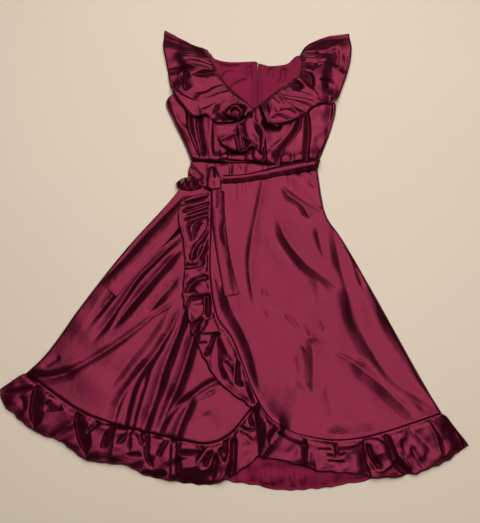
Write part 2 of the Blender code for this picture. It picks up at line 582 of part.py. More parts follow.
def add_bodice(dress):
    """The two gathered fronts, the wearer's left one over the right one."""
    dress.cloth("bodice_front_right", panel(
        (SHOULDER_RIGHT, HEM_BODICE_RIGHT, ARM_RIGHT, NECK_RIGHT), BODICE_RIGHT_FOLDS, BAND_TOP,
        MESHES["bodice_front_right"]))
    dress.cloth("bodice_front_left", panel(
        (SHOULDER_LEFT, HEM_BODICE_LEFT, NECK_LEFT, ARM_LEFT), BODICE_LEFT_FOLDS, BAND_TOP,
        MESHES["bodice_front_left"]))


def add_skirt(dress):
    """The skirt's two fronts, the side tail between them, and the ruffles sewn round their edges."""
    under = panel((WAIST_UNDER, HEM_UNDER, SIDE_LEFT, HIDDEN_EDGE), UNDER_SKIRT_FOLDS, BACK_TOP,
                  MESHES["skirt_front_under"])
    dress.cloth("skirt_front_under", under)
    dress.cloth("hem_ruffle_under",
                ruffle(refine(under[-1], UNDER_RUFFLE_PARTS), UNDER_RUFFLE_EDGE, UNDER_FLUTES),
                sewn_to=("skirt_front_under",))
    dress.cloth("belt_tail_side",
                strip(TAIL_SIDE_RIGHT, TAIL_SIDE_LEFT, BACK_TOP, MESHES["belt_tail_side"]))
    over = panel((WAIST_OVER, HEM_OVER, WRAP_EDGE, SIDE_RIGHT), OVER_SKIRT_FOLDS, BACK_TOP,
                 MESHES["skirt_front_over"])
    dress.cloth("skirt_front_over", over)
    wrap_seam = over[1:PINCH_ROW + 1, 0]
    dress.cloth("wrap_ruffle",
                ruffle(refine(wrap_seam, WRAP_RUFFLE_PARTS), WRAP_RUFFLE_EDGE, WRAP_FLUTES),
                sewn_to=("skirt_front_over",))
    hem_seam = np.vstack([over[PINCH_ROW:, 0], over[-1, 1:]])
    dress.cloth("hem_ruffle_over",
                ruffle(refine(hem_seam, OVER_RUFFLE_PARTS), OVER_RUFFLE_EDGE, OVER_FLUTES),
                sewn_to=("skirt_front_over",))


def add_neck_ruffles(dress):
    """The two flutter collars and the cascade that runs on down the bodice's wrap edge."""
    dress.cloth("collar_ruffle_right", panel(
        (COLLAR_RIGHT_TOP, COLLAR_RIGHT_END, COLLAR_RIGHT_SEAM, COLLAR_RIGHT_EDGE), COLLAR_RIGHT_FOLDS, 0,
        MESHES["collar_ruffle_right"]))
    dress.cloth("collar_ruffle_left", panel(
        (COLLAR_LEFT_TOP, COLLAR_LEFT_END, COLLAR_LEFT_SEAM, COLLAR_LEFT_EDGE), COLLAR_LEFT_FOLDS, 0,
        MESHES["collar_ruffle_left"]))
    dress.cloth("cascade_ruffle", panel(
        (CASCADE_TOP, CASCADE_HEM, CASCADE_LEFT, CASCADE_RIGHT), CASCADE_FOLDS, BAND_TOP,
        MESHES["cascade_ruffle"]))
    dress.cloth("cascade_curl", curl())


def curl():
    """The points of the cascade's top, rolled into an open cup."""
    grid = []
    for row in range(CURL_ROWS + 1):
        out = row / CURL_ROWS
        ring = []
        for step in range(CURL_STEPS + 1):
            turn = CURL_START + CURL_SWEEP * step / CURL_STEPS
            reach_x = CURL_FOOT[0] * (1 - out) + CURL_RIM[0] * out
            reach_y = CURL_FOOT[1] * (1 - out) + CURL_RIM[1] * out
            ring.append((CURL_CENTRE[0] + reach_x * cos(turn), CURL_CENTRE[1] + reach_y * sin(turn),
                         BAND_TOP + CURL_RISE * out ** CURL_FLARE))
        grid.append(ring)
    return np.array(grid)


def add_belt(dress):
    """The tie belt: its back, its side and front, the loop, the knot and the long tail."""
    dress.cloth("belt_side", strip(BELT_SIDE_LOW, BELT_SIDE_HIGH, BAND_TOP, MESHES["belt_side"]))
    dress.cloth("belt_front", strip(BELT_LOW, BELT_HIGH, BAND_TOP, MESHES["belt_front"]))
    dress.cloth("belt_loop", strip(LOOP_LOW, LOOP_HIGH, BAND_TOP, MESHES["belt_loop"]))
    dress.cloth("belt_tail_long",
                strip(TAIL_LONG_RIGHT, TAIL_LONG_LEFT, BACK_TOP, MESHES["belt_tail_long"]))
    cut = MESHES["belt_knot"]
    plan = patch(KNOT_TOP, KNOT_FOOT, KNOT_LEFT, KNOT_RIGHT, cut.columns, cut.rows)
    dress.cloth("belt_knot", np.dstack([plan, np.full(plan.shape[:2], BAND_TOP)]),
                puffed(plan, cut.crown, cut.edge))


def build():
    """Lay the whole dress, from the back up to the belt's knot."""
    for obj in list(bpy.data.objects):
        bpy.data.objects.remove(obj, do_unlink=True)
    dress = Dress()
    add_back(dress)
    add_waist(dress)
    add_skirt(dress)
    add_bodice(dress)
    add_neck_ruffles(dress)
    add_belt(dress)


build()
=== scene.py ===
"""Satin wrap dress with flutter ruffles, laid flat on its back with its front up.

The file is laid out as an add-on and run as a script: each operator lays one group of pieces, from the
back up to the belt's knot. The tables are in centimetres, seen from above: X to the wearer's left, Y
towards the neck, Z up. Pieces are named for the wearer, so the right front shows on the left.
"""
from collections import namedtuple
from math import cos, pi, radians, sin

import bmesh
import bpy
import numpy as np
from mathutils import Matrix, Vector


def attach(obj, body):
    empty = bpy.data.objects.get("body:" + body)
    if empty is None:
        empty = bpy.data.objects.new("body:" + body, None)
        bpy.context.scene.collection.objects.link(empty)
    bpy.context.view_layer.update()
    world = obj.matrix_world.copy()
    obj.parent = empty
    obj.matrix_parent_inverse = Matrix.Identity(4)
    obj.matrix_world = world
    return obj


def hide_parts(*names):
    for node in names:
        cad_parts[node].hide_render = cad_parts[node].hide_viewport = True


bl_info = {
    "name": "Satin wrap dress",
    "version": (1, 0, 0),
    "blender": (4, 5, 0),
    "location": "View3D > Sidebar > Dress",
    "description": "Lays a ruffled satin wrap dress flat on the floor, piece by piece",
    "category": "Add Mesh",
}

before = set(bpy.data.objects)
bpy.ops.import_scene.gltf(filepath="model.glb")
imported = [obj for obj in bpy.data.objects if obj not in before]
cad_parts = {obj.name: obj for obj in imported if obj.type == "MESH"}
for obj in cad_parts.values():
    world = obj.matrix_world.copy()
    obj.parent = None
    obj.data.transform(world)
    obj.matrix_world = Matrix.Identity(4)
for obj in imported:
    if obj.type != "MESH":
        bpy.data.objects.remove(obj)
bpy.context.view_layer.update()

CM = 0.01

# ---------------------------------------------------------------------------------------------------
# The cut: curves seen from above, each from its first point to its last
# ---------------------------------------------------------------------------------------------------
Sides = namedtuple("Sides", "top hem left right")   # of a piece, each run downwards or to the right
Band = namedtuple("Band", "low high")               # the two long edges of a strip

SIDE_LEFT = ((-13.4, 15.4), (-20, 7), (-30, -5.5), (-40, -20), (-49, -34.5), (-54, -40))
SIDE_RIGHT = ((25.4, 19.4), (26.3, 10), (27.6, 4), (32, -3.5), (40, -20), (50, -41.5), (54.5, -50.3))
WRAP_EDGE = ((-6, 15.2), (-6, 0), (-5.9, -14), (-4, -25), (0, -31), (3, -38), (6.2, -46),
             (9.5, -51.3), (13, -53.5))
WRAP_SPLIT = 0.885      # share of the wrap edge where its ruffle ends and the hem ruffle starts
UNDER_SKIRT = Sides(
    top=((-13.4, 15.4), (-6, 15.2), (5, 16.1)),
    hem=((-54, -40), (-40, -49.3), (-30, -53), (-15, -56.5), (-6, -57.9), (0, -55.5), (5, -49.8),
         (10.5, -45.5)),
    left=SIDE_LEFT,
    right=((5, 16.1), (3, 0), (4.5, -24), (9, -40), (10.5, -45.5)),
)
OVER_SKIRT = Sides(
    top=((-6, 15.2), (5, 16.1), (15, 18), (25.4, 19.4)),
    hem=((13, -53.5), (18, -55.7), (27, -57), (38, -55.4), (54.5, -50.3)),
    left=WRAP_EDGE,
    right=SIDE_RIGHT,
)
WAIST_BACK = ((-13.1, 15.2), (-6, 15.1), (5, 16.1), (15, 18), (25.1, 19.3))
HEM_BACK = ((-53.6, -40.6), (-40, -49.8), (-25, -54.6), (-5, -57.8), (18, -58.4), (38, -56),
            (54, -50.6))
WAISTBAND = Band(
    low=((-12.6, 15.45), (-6, 15.3), (5, 16.2), (15, 18.1), (25.3, 19.5)),
    high=((-12.3, 22.4), (-4, 21.9), (5, 22), (15, 23), (25.9, 24.6)),
)

WRAP_RUFFLE_EDGE = ((-14.6, 9.6), (-15.3, 3.5), (-13.8, -4), (-13.1, -10), (-13.4, -19), (-11.3, -27),
                    (-8, -35), (-3, -43), (3, -47.6), (5.4, -49.2))
OVER_RUFFLE_EDGE = ((6, -50.6), (6.6, -56), (7.6, -61), (13, -62), (22, -64.4), (30, -65), (37, -66.1),
                    (46, -65), (53, -62.6), (60.2, -58.3))
UNDER_RUFFLE_EDGE = ((-60.4, -44.5), (-58.5, -48.6), (-50, -55), (-44, -57), (-36, -62), (-27, -62.9),
                     (-20, -65.6), (-10, -67.2), (-3, -67), (4, -63.4), (9, -59), (12.5, -54.5))
BACK_RUFFLE_EDGE = ((-58.2, -45.6), (-45, -55.6), (-25, -62.2), (-8, -65.8), (4, -67.3), (15, -68.9),
                    (30, -67.3), (40, -64.6), (52, -60.6), (58, -57))

ARM_RIGHT = ((-17, 59.4), (-14.6, 54), (-15.4, 48), (-20.5, 43), (-18.2, 36), (-14.5, 28), (-12.4, 22.5))
ARM_LEFT = ((30.2, 58.4), (28.6, 52), (28.6, 46.5), (32, 41.8), (30.4, 34), (27.6, 26.5), (26, 22.6))
NECK_LEFT = ((21.5, 60.6), (22, 57), (20.2, 51.5), (15, 47.3), (8, 41), (4.5, 36.5), (0.5, 29),
             (-4, 22.05))
RIGHT_FRONT = Sides(
    top=((-17, 59.4), (-7.7, 61.6)),
    hem=((-12.4, 22), (-4, 21.3), (5, 21.4), (10.5, 22)),
    left=ARM_RIGHT,
    right=((-7.7, 61.6), (-5.6, 56), (-4, 52), (0, 46.5), (5, 41.7), (9.5, 36), (10.5, 22.5)),
)
LEFT_FRONT = Sides(
    top=((21.5, 60.6), (30.2, 58.4)),
    hem=((-4, 21.6), (4, 21.7), (8.8, 20.8), (14, 20.6), (20, 21.6), (26, 22.3)),
    left=NECK_LEFT,
    right=ARM_LEFT,
)

# A collar's grid runs from the neck out: its left side is its seam and its right side its free edge
COLLAR_RIGHT = Sides(
    top=((-8, 61.8), (-11, 62.7), (-18, 66.7), (-22, 69.2)),
    hem=((4.8, 41.6), (2.4, 38.4), (0, 35.2)),
    left=((-8, 61.8), (-5.8, 56), (-4.2, 52), (-0.2, 46.5), (4.8, 41.6)),
    right=((-22, 69.2), (-22.4, 64), (-20.9, 56), (-18.8, 46), (-15, 40), (-11.8, 36.8), (-8, 37),
           (-4.5, 34.4), (0, 35.2)),
)
COLLAR_LEFT = Sides(
    top=((21.7, 60.4), (24, 63.6), (30, 66.8), (37.6, 67.9)),
    hem=((8.6, 41.2), (9.4, 37.6), (10.6, 34.2)),
    left=((21.7, 60.4), (22.2, 57), (20.4, 51.5), (15.2, 47.3), (8.6, 41.2)),
    right=((37.6, 67.9), (38, 62), (36.9, 55.5), (34.4, 48), (31.6, 42), (26.5, 41), (20.5, 36.4),
           (15.5, 34.5), (10.6, 34.2)),
)

BACK_RIGHT_NECK = ((-8, 61.2), (-5.9, 59), (-1, 57.7), (7.3, 57.9))
BACK_LEFT_NECK = ((9, 57), (12, 56.2), (17.3, 57), (21.3, 60.2))
ZIP_GAP_RIGHT = ((7.3, 57.9), (7.65, 57), (7.9, 54.4))
ZIP_GAP_LEFT = ((7.96, 54.4), (8.55, 55.8), (9, 57))
ZIP_FOOT = (7.5, 22.5)
SHOULDER_TIPS = ((-16.6, 59.1), (29.8, 58.1))
UNDERARM_FEET = ((-12.1, 22.5), (25.6, 24.7))
TAPE_RIGHT = ((6.1, 57.7), (6, 50), (5.6, 23))
TAPE_LEFT = ((9.25, 56.8), (9.3, 50), (9.1, 23))

CASCADE = Sides(
    top=((-5, 33.6), (0.5, 34), (6.3, 35.6)),
    hem=((0.4, 24.7), (3.6, 24.7), (6, 26.2), (8.8, 23.4)),
    left=((-5, 33.6), (-4.4, 29.6), (-2.6, 27.2), (0.4, 24.7)),
    right=((6.3, 35.6), (9.8, 30), (8.8, 23.4)),
)
CURL_CENTRE = (0.7, 38.3)

BELT_STEP = 0.5         # from the skirt's waist seam to the belt's back
BELT_WIDTH = 3.0
BELT_FRONT = Band(
    low=((-2.6, 14.2), (4, 15), (14, 17), (25.3, 19.4)),
    high=((-2.6, 17.2), (4, 17.7), (12, 19.9), (20, 21.6), (26.3, 22.4)),
)
BELT_SIDE = Band(
    low=((-13, 18.2), (-11.4, 16.6), (-8.9, 15)),
    high=((-12.3, 21.9), (-10.3, 19.7), (-8.2, 17.6)),
)
KNOT = Sides(
    top=((-7.3, 19.3), (-6, 19.9), (-4.6, 19.5)),
    hem=((-8.6, 13), (-6, 12), (-3, 12.4)),
    left=((-7.3, 19.3), (-7.6, 16), (-8.6, 13)),
    right=((-4.6, 19.5), (-3.4, 16), (-3, 12.4)),
)
LOOP = Band(
    low=((-16, 13), (-14.2, 12.3), (-11.6, 12.2), (-8.9, 13)),
    high=((-16.5, 15.2), (-14.6, 16.8), (-12, 16.5), (-9, 15.2)),
)
TAIL_LONG = Band(
    low=((-2.2, 11.6), (-1.8, 2), (-0.2, -9), (2.2, -18.8)),
    high=((-5.9, 11.6), (-5.6, 2), (-4, -9), (-1.8, -19.8)),
)
TAIL_SIDE = Band(
    low=((-12, 4.6), (-17, -2), (-22.4, -8.6), (-27, -14), (-31.4, -19.7)),
    high=((-15.6, 7.2), (-20, 1.2), (-24.6, -4.6), (-30, -10.8), (-35.3, -16.2)),
)

# ---------------------------------------------------------------------------------------------------
# Folds: the crest's path, the width from crest to foot, how far it rises (or sinks, where negative),
# its side, and how much wider it is at its end than at its start. A fold slopes away on both sides of
# its path, or on one side only and breaks off on the other.
# ---------------------------------------------------------------------------------------------------
LEFT, BOTH, RIGHT = 1, 0, -1
Fold = namedtuple("Fold", "path width rise side flare", defaults=(BOTH, 0.0))

UNDER_SKIRT_FOLDS = (
    Fold(((-11.5, 12.5), (-15.4, 9.2), (-22, 2.2), (-31, -8.8), (-39, -19)), 3.2, -1.3, LEFT),
    Fold(((-33, -10), (-40.8, -21), (-46, -29.5), (-52, -39)), 4.5, -0.3, LEFT),
    Fold(((-45, -35.6), (-50, -39)), 0.8, -0.3),
    Fold(((-9, 7), (-14.4, 1.8), (-20, -4), (-27, -11.6), (-33.4, -20), (-40, -30)), 2.2, -1.2, LEFT),
    Fold(((-12.5, -0.6), (-18, -5.2), (-22, -9.4), (-26.4, -14.4), (-31, -22.5), (-38, -33.5)),
         2.4, -1.3, LEFT),
    Fold(((-12.5, -4.6), (-17, -8.4), (-21, -13.2), (-25, -18.2), (-28.6, -23), (-33, -30)),
         2.6, -1.3, LEFT),
    Fold(((-14.5, -13.6), (-19, -19.2), (-23.5, -25)), 2.3, -0.74, LEFT),
    Fold(((-11, -19), (-20, -24), (-24, -27.4), (-29, -31.3), (-36, -36), (-42, -39.4), (-52, -43)),
         1.6, -0.6, LEFT),
    Fold(((-58, -39.8), (-49, -41.4), (-39, -39.2)), 2.4, -0.9, LEFT),
    Fold(((-12.4, -17), (-15.6, -27), (-18.4, -32), (-21.6, -37), (-25.6, -42), (-28.2, -46),
          (-29.8, -51), (-30.4, -60)), 2.8, -1.27, LEFT),
    Fold(((-20.6, -34), (-25.2, -43), (-26.6, -48), (-27.4, -53), (-28, -62)), 3.4, -1.3, LEFT),
    Fold(((-11, -16), (-14.1, -28), (-15.8, -33), (-17.6, -38), (-18.9, -43), (-20.2, -48), (-22, -53.5),
          (-24, -62)), 2.8, -1.3, LEFT),
    Fold(((-8, -22), (-11.4, -35), (-12.8, -40), (-14.6, -45), (-16.6, -49.5), (-20, -60)),
         2.5, -1.2, LEFT),
    Fold(((-16.6, -22), (-22.6, -31), (-27, -37), (-33, -46)), 4.1, -0.74, LEFT),
    Fold(((-21, -37), (-23.8, -47), (-25.2, -54), (-26, -62)), 1.6, -0.74, LEFT),
    Fold(((1, -40.4), (-6, -43.3), (-10, -46.2), (-15, -49.8), (-20, -57)), 1.7, -0.82, LEFT),
    Fold(((-2.4, -43.9), (-8, -46.5), (-14, -48.9)), 1.1, -0.52, LEFT),
    Fold(((-8.8, -44), (-12.2, -51), (-13.8, -55.6), (-15, -62)), 2.3, -1.04, LEFT),
    Fold(((-7, -50), (-3, -55)), 1.8, -0.3),
)
OVER_SKIRT_FOLDS = (
    Fold(((10.2, 22), (8.4, 11), (7.2, 5), (6.2, 0), (5.3, -6), (5.1, -12), (6.6, -25)),
         1.6, -0.55, RIGHT),
    Fold(((3.6, 19), (3.4, 13), (3.2, 8)), 0.65, -0.22),
    Fold(((1.2, 18), (1, 13), (1, 8)), 0.65, -0.19),
    Fold(((5.8, 19), (5.5, 12)), 0.52, -0.17),
    Fold(((15.8, 21), (17.2, 15.6), (18, 12)), 0.91, -0.33),
    Fold(((14.2, 14.2), (17, 11), (19.6, 9), (21.6, 6.2), (22.4, 2.4)), 2.5, -0.8, RIGHT),
    Fold(((12.6, 16), (16.5, 12.9), (20, 10), (24, 7.2), (30, 3.4)), 0.6, 0.3),
    Fold(((18, 19.4), (21.5, 16.6), (25.4, 13)), 1.04, -0.3),
    Fold(((20.6, 20.4), (24.8, 16.8)), 0.65, -0.25),
    Fold(((22, 17.6), (21.4, 16.6), (23, 15.6)), 0.52, 0.22),
    Fold(((12.2, 6), (15.6, -2.4), (19.4, -7.8), (24, -12), (29, -16), (33, -19)),
         2.3, -1.05, RIGHT, 0.9),
    Fold(((9, 1), (12.6, -7), (17, -12.6), (24, -19)), 2.8, 0.55),
    Fold(((23.4, -12.6), (24.2, -22)), 1.56, -0.22),
    Fold(((24.1, 2), (25.2, -4), (26.6, -11)), 2, -0.55, RIGHT),
    Fold(((28.2, 8), (29.6, -4), (31, -13), (32.6, -20), (34.4, -27), (36.8, -33), (39.6, -38),
          (43, -42.6), (48, -46), (58, -52.4)), 4.0, -1.05, RIGHT),
    Fold(((31, 0), (33.6, -7), (35, -12), (37.4, -20)), 2.2, -0.75, RIGHT),
    Fold(((35, -10), (42, -25), (46.6, -33), (50.4, -41), (55, -51)), 4.2, -0.85, RIGHT),
    Fold(((26.4, -34.2), (31, -36.6), (34.5, -38.9), (38, -40.7), (42.6, -43.4)), 0.6, -0.35),
    Fold(((30.5, -36.2), (39.6, -43.2), (48.4, -52.4)), 3.3, -0.95, RIGHT),
    Fold(((41.6, -44.2), (46.4, -47), (51.4, -50.4)), 1.8, -0.4, RIGHT),
    Fold(((21.6, -29), (21.9, -37), (21.3, -47)), 3.5, -1.0, RIGHT),
    Fold(((17.4, -34.6), (18.6, -41)), 0.6, -0.3),
    Fold(((14.4, -23.8), (17, -27), (19.6, -29.6)), 0.5, -0.3),
    Fold(((18, -25.8), (20.6, -28.4), (22.2, -31.4), (24.4, -32.8), (28.4, -33.6)), 0.45, -0.32),
    Fold(((24.3, -25.4), (25.6, -29.4)), 0.45, -0.28),
    Fold(((8.4, -16.6), (9.7, -20)), 0.45, -0.28),
    Fold(((8.2, -23), (9.8, -26)), 0.45, -0.25),
    Fold(((11.4, -21), (12.4, -23.6)), 0.4, -0.2),
    Fold(((18.8, -32.4), (20.8, -36)), 0.45, -0.3),
    Fold(((24.2, -33), (24.8, -42), (26.4, -54)), 2.5, -0.4, RIGHT),
    Fold(((17.8, -41), (17, -48), (14.2, -57)), 3.6, -0.5, RIGHT),
    Fold(((22.6, -55.4), (30, -55.6), (38.6, -54.6)), 3.0, -0.35, LEFT),
    Fold(((-3.4, -15), (1.6, -26), (4.4, -32), (6.2, -38), (7.8, -48)), 3.2, -0.7, RIGHT),
    Fold(((-4.6, 0), (-4.9, -6), (-4.4, -13), (-3, -20)), 0.78, -0.25),
)
WRAP_RUFFLE_FOLDS = (
    Fold(((-5, 10.9), (-10, 9.7), (-15.4, 7.9)), 0.45, 0.31),
    Fold(((-5, 9.8), (-10, 8.3), (-15, 7.2)), 0.55, -1.0),
    Fold(((-5.4, 10), (-9, 8.2), (-15, 6.1)), 0.4, 0.31),
    Fold(((-5, 8.8), (-9, 6.9), (-15, 4.8)), 0.65, -1.1),
    Fold(((-5.4, 7.5), (-9, 5.9), (-14.6, 3.7)), 0.45, 0.31),
    Fold(((-5, 6.7), (-9, 5.3), (-13.6, 3.7)), 0.35, -0.9),
    Fold(((-5, 5.6), (-9, 4.8), (-14.4, 2.9)), 0.4, 0.25),
    Fold(((-5.4, 5), (-9, 4), (-14.4, 2.1)), 0.4, -1.0),
    Fold(((-5, 4.5), (-9, 3.4), (-13.4, 1.1)), 0.4, 0.25),
    Fold(((-5, 3.6), (-9, 2.8), (-12.8, 0.5)), 0.35, -0.9),
    Fold(((-5, 2.7), (-9, 2.3), (-11, 1), (-12.2, -1.6)), 0.45, 0.31),
    Fold(((-8.4, 2.6), (-10.4, 0.6), (-10.8, -4.6)), 2.2, -1.1, LEFT),
    Fold(((-12.6, 2.4), (-12.2, -1), (-10.6, -4.8)), 0.45, -0.8),
    Fold(((-5.6, -0.2), (-7, 0.9), (-8.6, 0.6), (-9, -1.4)), 0.4, 0.31),
    Fold(((-6, 1), (-8.4, -2.8), (-10.2, -5), (-11.2, -7.4), (-11, -11.4)), 1.0, -1.4),
    Fold(((-7, 0.6), (-9.2, -3.2), (-11.1, -5.6), (-12, -11)), 0.55, 0.37),
    Fold(((-5, -1.4), (-7.4, -4.4), (-8.8, -5), (-9.9, -9.6)), 0.35, 0.31),
    Fold(((-6.6, -4.2), (-8.6, -7.6), (-9.9, -10.4)), 0.4, 0.31),
    Fold(((-5.8, -3.6), (-7.6, -7.6), (-8.8, -10.8)), 0.4, -1.0),
    Fold(((-8.1, -4.9), (-9.7, -8.8)), 0.3, -0.6),
    Fold(((-5.9, -5.4), (-6.9, -8.4), (-7.2, -10.2), (-8.6, -11.4), (-11.5, -12.2), (-15, -13.2)),
         0.4, 0.31),
    Fold(((-6.6, -10), (-10, -11.1), (-14, -11.2)), 1.0, -1.4),
    Fold(((-4.6, -14.2), (-8.6, -14.7), (-11, -16.2), (-12.8, -19.6)), 0.9, -1.4),
    Fold(((-7.4, -15.4), (-10, -18.8)), 1.8, 0.3),
    Fold(((-4.6, -19), (-9, -20.1), (-13, -20)), 0.45, -1.0),
    Fold(((-7.2, -21.3), (-10.4, -21.5), (-12.8, -18.4)), 0.4, 0.22),
    Fold(((-7.7, -20.4), (-8, -24.4), (-11.4, -26.6)), 3.2, -1.3, RIGHT),
    Fold(((-7.4, -18.8), (-7.4, -23.8), (-8.3, -25.3), (-12, -26.9)), 0.4, 0.37),
    Fold(((-6.3, -18.4), (-6.2, -26.2)), 0.65, -1.3),
    Fold(((-5.7, -18.8), (-5, -24), (-5.3, -25.5), (-7.4, -26.3), (-9.6, -29)), 0.4, 0.37),
    Fold(((-7.2, -25.9), (-9.4, -27.4), (-9.7, -30.4)), 0.9, -1.3),
    Fold(((-6.2, -26.4), (-8.2, -29.6)), 0.35, -0.7),
    Fold(((-4.2, -25.6), (-2.8, -29.6)), 0.45, -0.5),
    Fold(((-11, -29.8), (-6, -29.6), (-2.2, -29)), 0.35, 0.25),
    Fold(((-2.2, -29.2), (-4.6, -31.2), (-5.6, -33.6), (-7.4, -36.8)), 0.55, -1.1),
    Fold(((-9.4, -32.7), (-5.8, -32.3)), 0.35, -0.5),
    Fold(((-4.2, -30.4), (-4.9, -35), (-5, -40.6)), 0.7, 0.3),
    Fold(((-3.9, -29.8), (-3.1, -34), (-3, -38), (-1.6, -43)), 2.1, -1.5, LEFT),
    Fold(((-3.2, -29.8), (-1.2, -34.4), (1.4, -38)), 0.55, 0.37),
    Fold(((-2, -37), (0.8, -40.4)), 0.7, -0.9),
    Fold(((-2.6, -38.2), (-0.9, -40.6), (0.8, -43.6)), 0.45, 0.31),
    Fold(((1.6, -35.8), (0.9, -39.4), (0.9, -43.8)), 0.4, 0.37),
    Fold(((2.1, -36.2), (1.8, -40), (1.9, -42.8), (4.2, -43.6)), 0.55, -1.2),
    Fold(((2.6, -37.2), (4.4, -43.2)), 0.8, 0.3),
    Fold(((4, -41), (5, -44.8), (6, -49)), 0.6, -1.1),
)
OVER_RUFFLE_FOLDS = (
    Fold(((6, -47.6), (6.7, -55), (7.2, -62.4)), 2.5, -1.6, LEFT),
    Fold(((8, -47), (9.2, -53), (9, -59)), 0.8, 0.3),
    Fold(((12.4, -53), (9.4, -58.6)), 0.9, -0.8),
    Fold(((10, -54), (15.5, -57.1), (20.6, -59.4)), 1.8, -1.2, LEFT),
    Fold(((18.9, -55.4), (19.1, -60), (18.2, -66)), 2.0, -1.5, RIGHT),
    Fold(((21.4, -59.3), (26, -59.4)), 0.5, -0.4),
    Fold(((26.6, -56.4), (26.7, -61.4)), 0.5, -1.0),
    Fold(((23.8, -60), (26.4, -61), (29.2, -60)), 0.35, -0.55),
    Fold(((23.8, -61.9), (29.2, -62.4)), 0.35, -0.45),
    Fold(((20.2, -59.4), (20.9, -65.4)), 0.4, -0.35),
    Fold(((25.4, -59.1), (30, -59), (35, -57.4)), 1.9, -1.4, LEFT),
    Fold(((33.2, -55.4), (33.3, -61), (35.2, -67)), 2.8, -1.5, RIGHT),
    Fold(((33.6, -55.2), (34.1, -60), (37.2, -65.4)), 0.45, 0.37),
    Fold(((34.6, -56.6), (35.4, -61), (38.4, -64.2)), 0.6, -1.0),
    Fold(((36.4, -57), (38, -61)), 1.5, 0.25),
    Fold(((35.2, -64.4), (38.6, -63.7), (41.6, -61)), 0.4, 0.28),
    Fold(((37.8, -53.8), (39.8, -57), (40.6, -59.8), (41.6, -62.4), (45.8, -66.4)), 0.85, -1.4),
    Fold(((35.2, -55.3), (40, -57.9)), 0.4, -0.7),
    Fold(((39.9, -53.6), (41.2, -58.2), (43, -61.6), (46.4, -65.8)), 0.45, 0.31),
    Fold(((44, -52.4), (48.4, -56.7), (52.4, -61)), 1.5, -0.6),
    Fold(((43.2, -56.2), (44, -60.8)), 0.9, -0.4),
    Fold(((45, -57.8), (48.4, -63.8)), 0.8, -0.5),
    Fold(((49.4, -51), (51.7, -55.6), (53, -62)), 0.5, 0.37),
    Fold(((50.8, -52.2), (52.9, -56.6), (54, -61)), 0.35, -0.7),
    Fold(((53, -49.6), (57.2, -54.8), (59, -61)), 4.6, -1.8, RIGHT),
    Fold(((53.6, -49), (58.2, -53.9), (60.8, -60)), 0.9, 0.4),
)
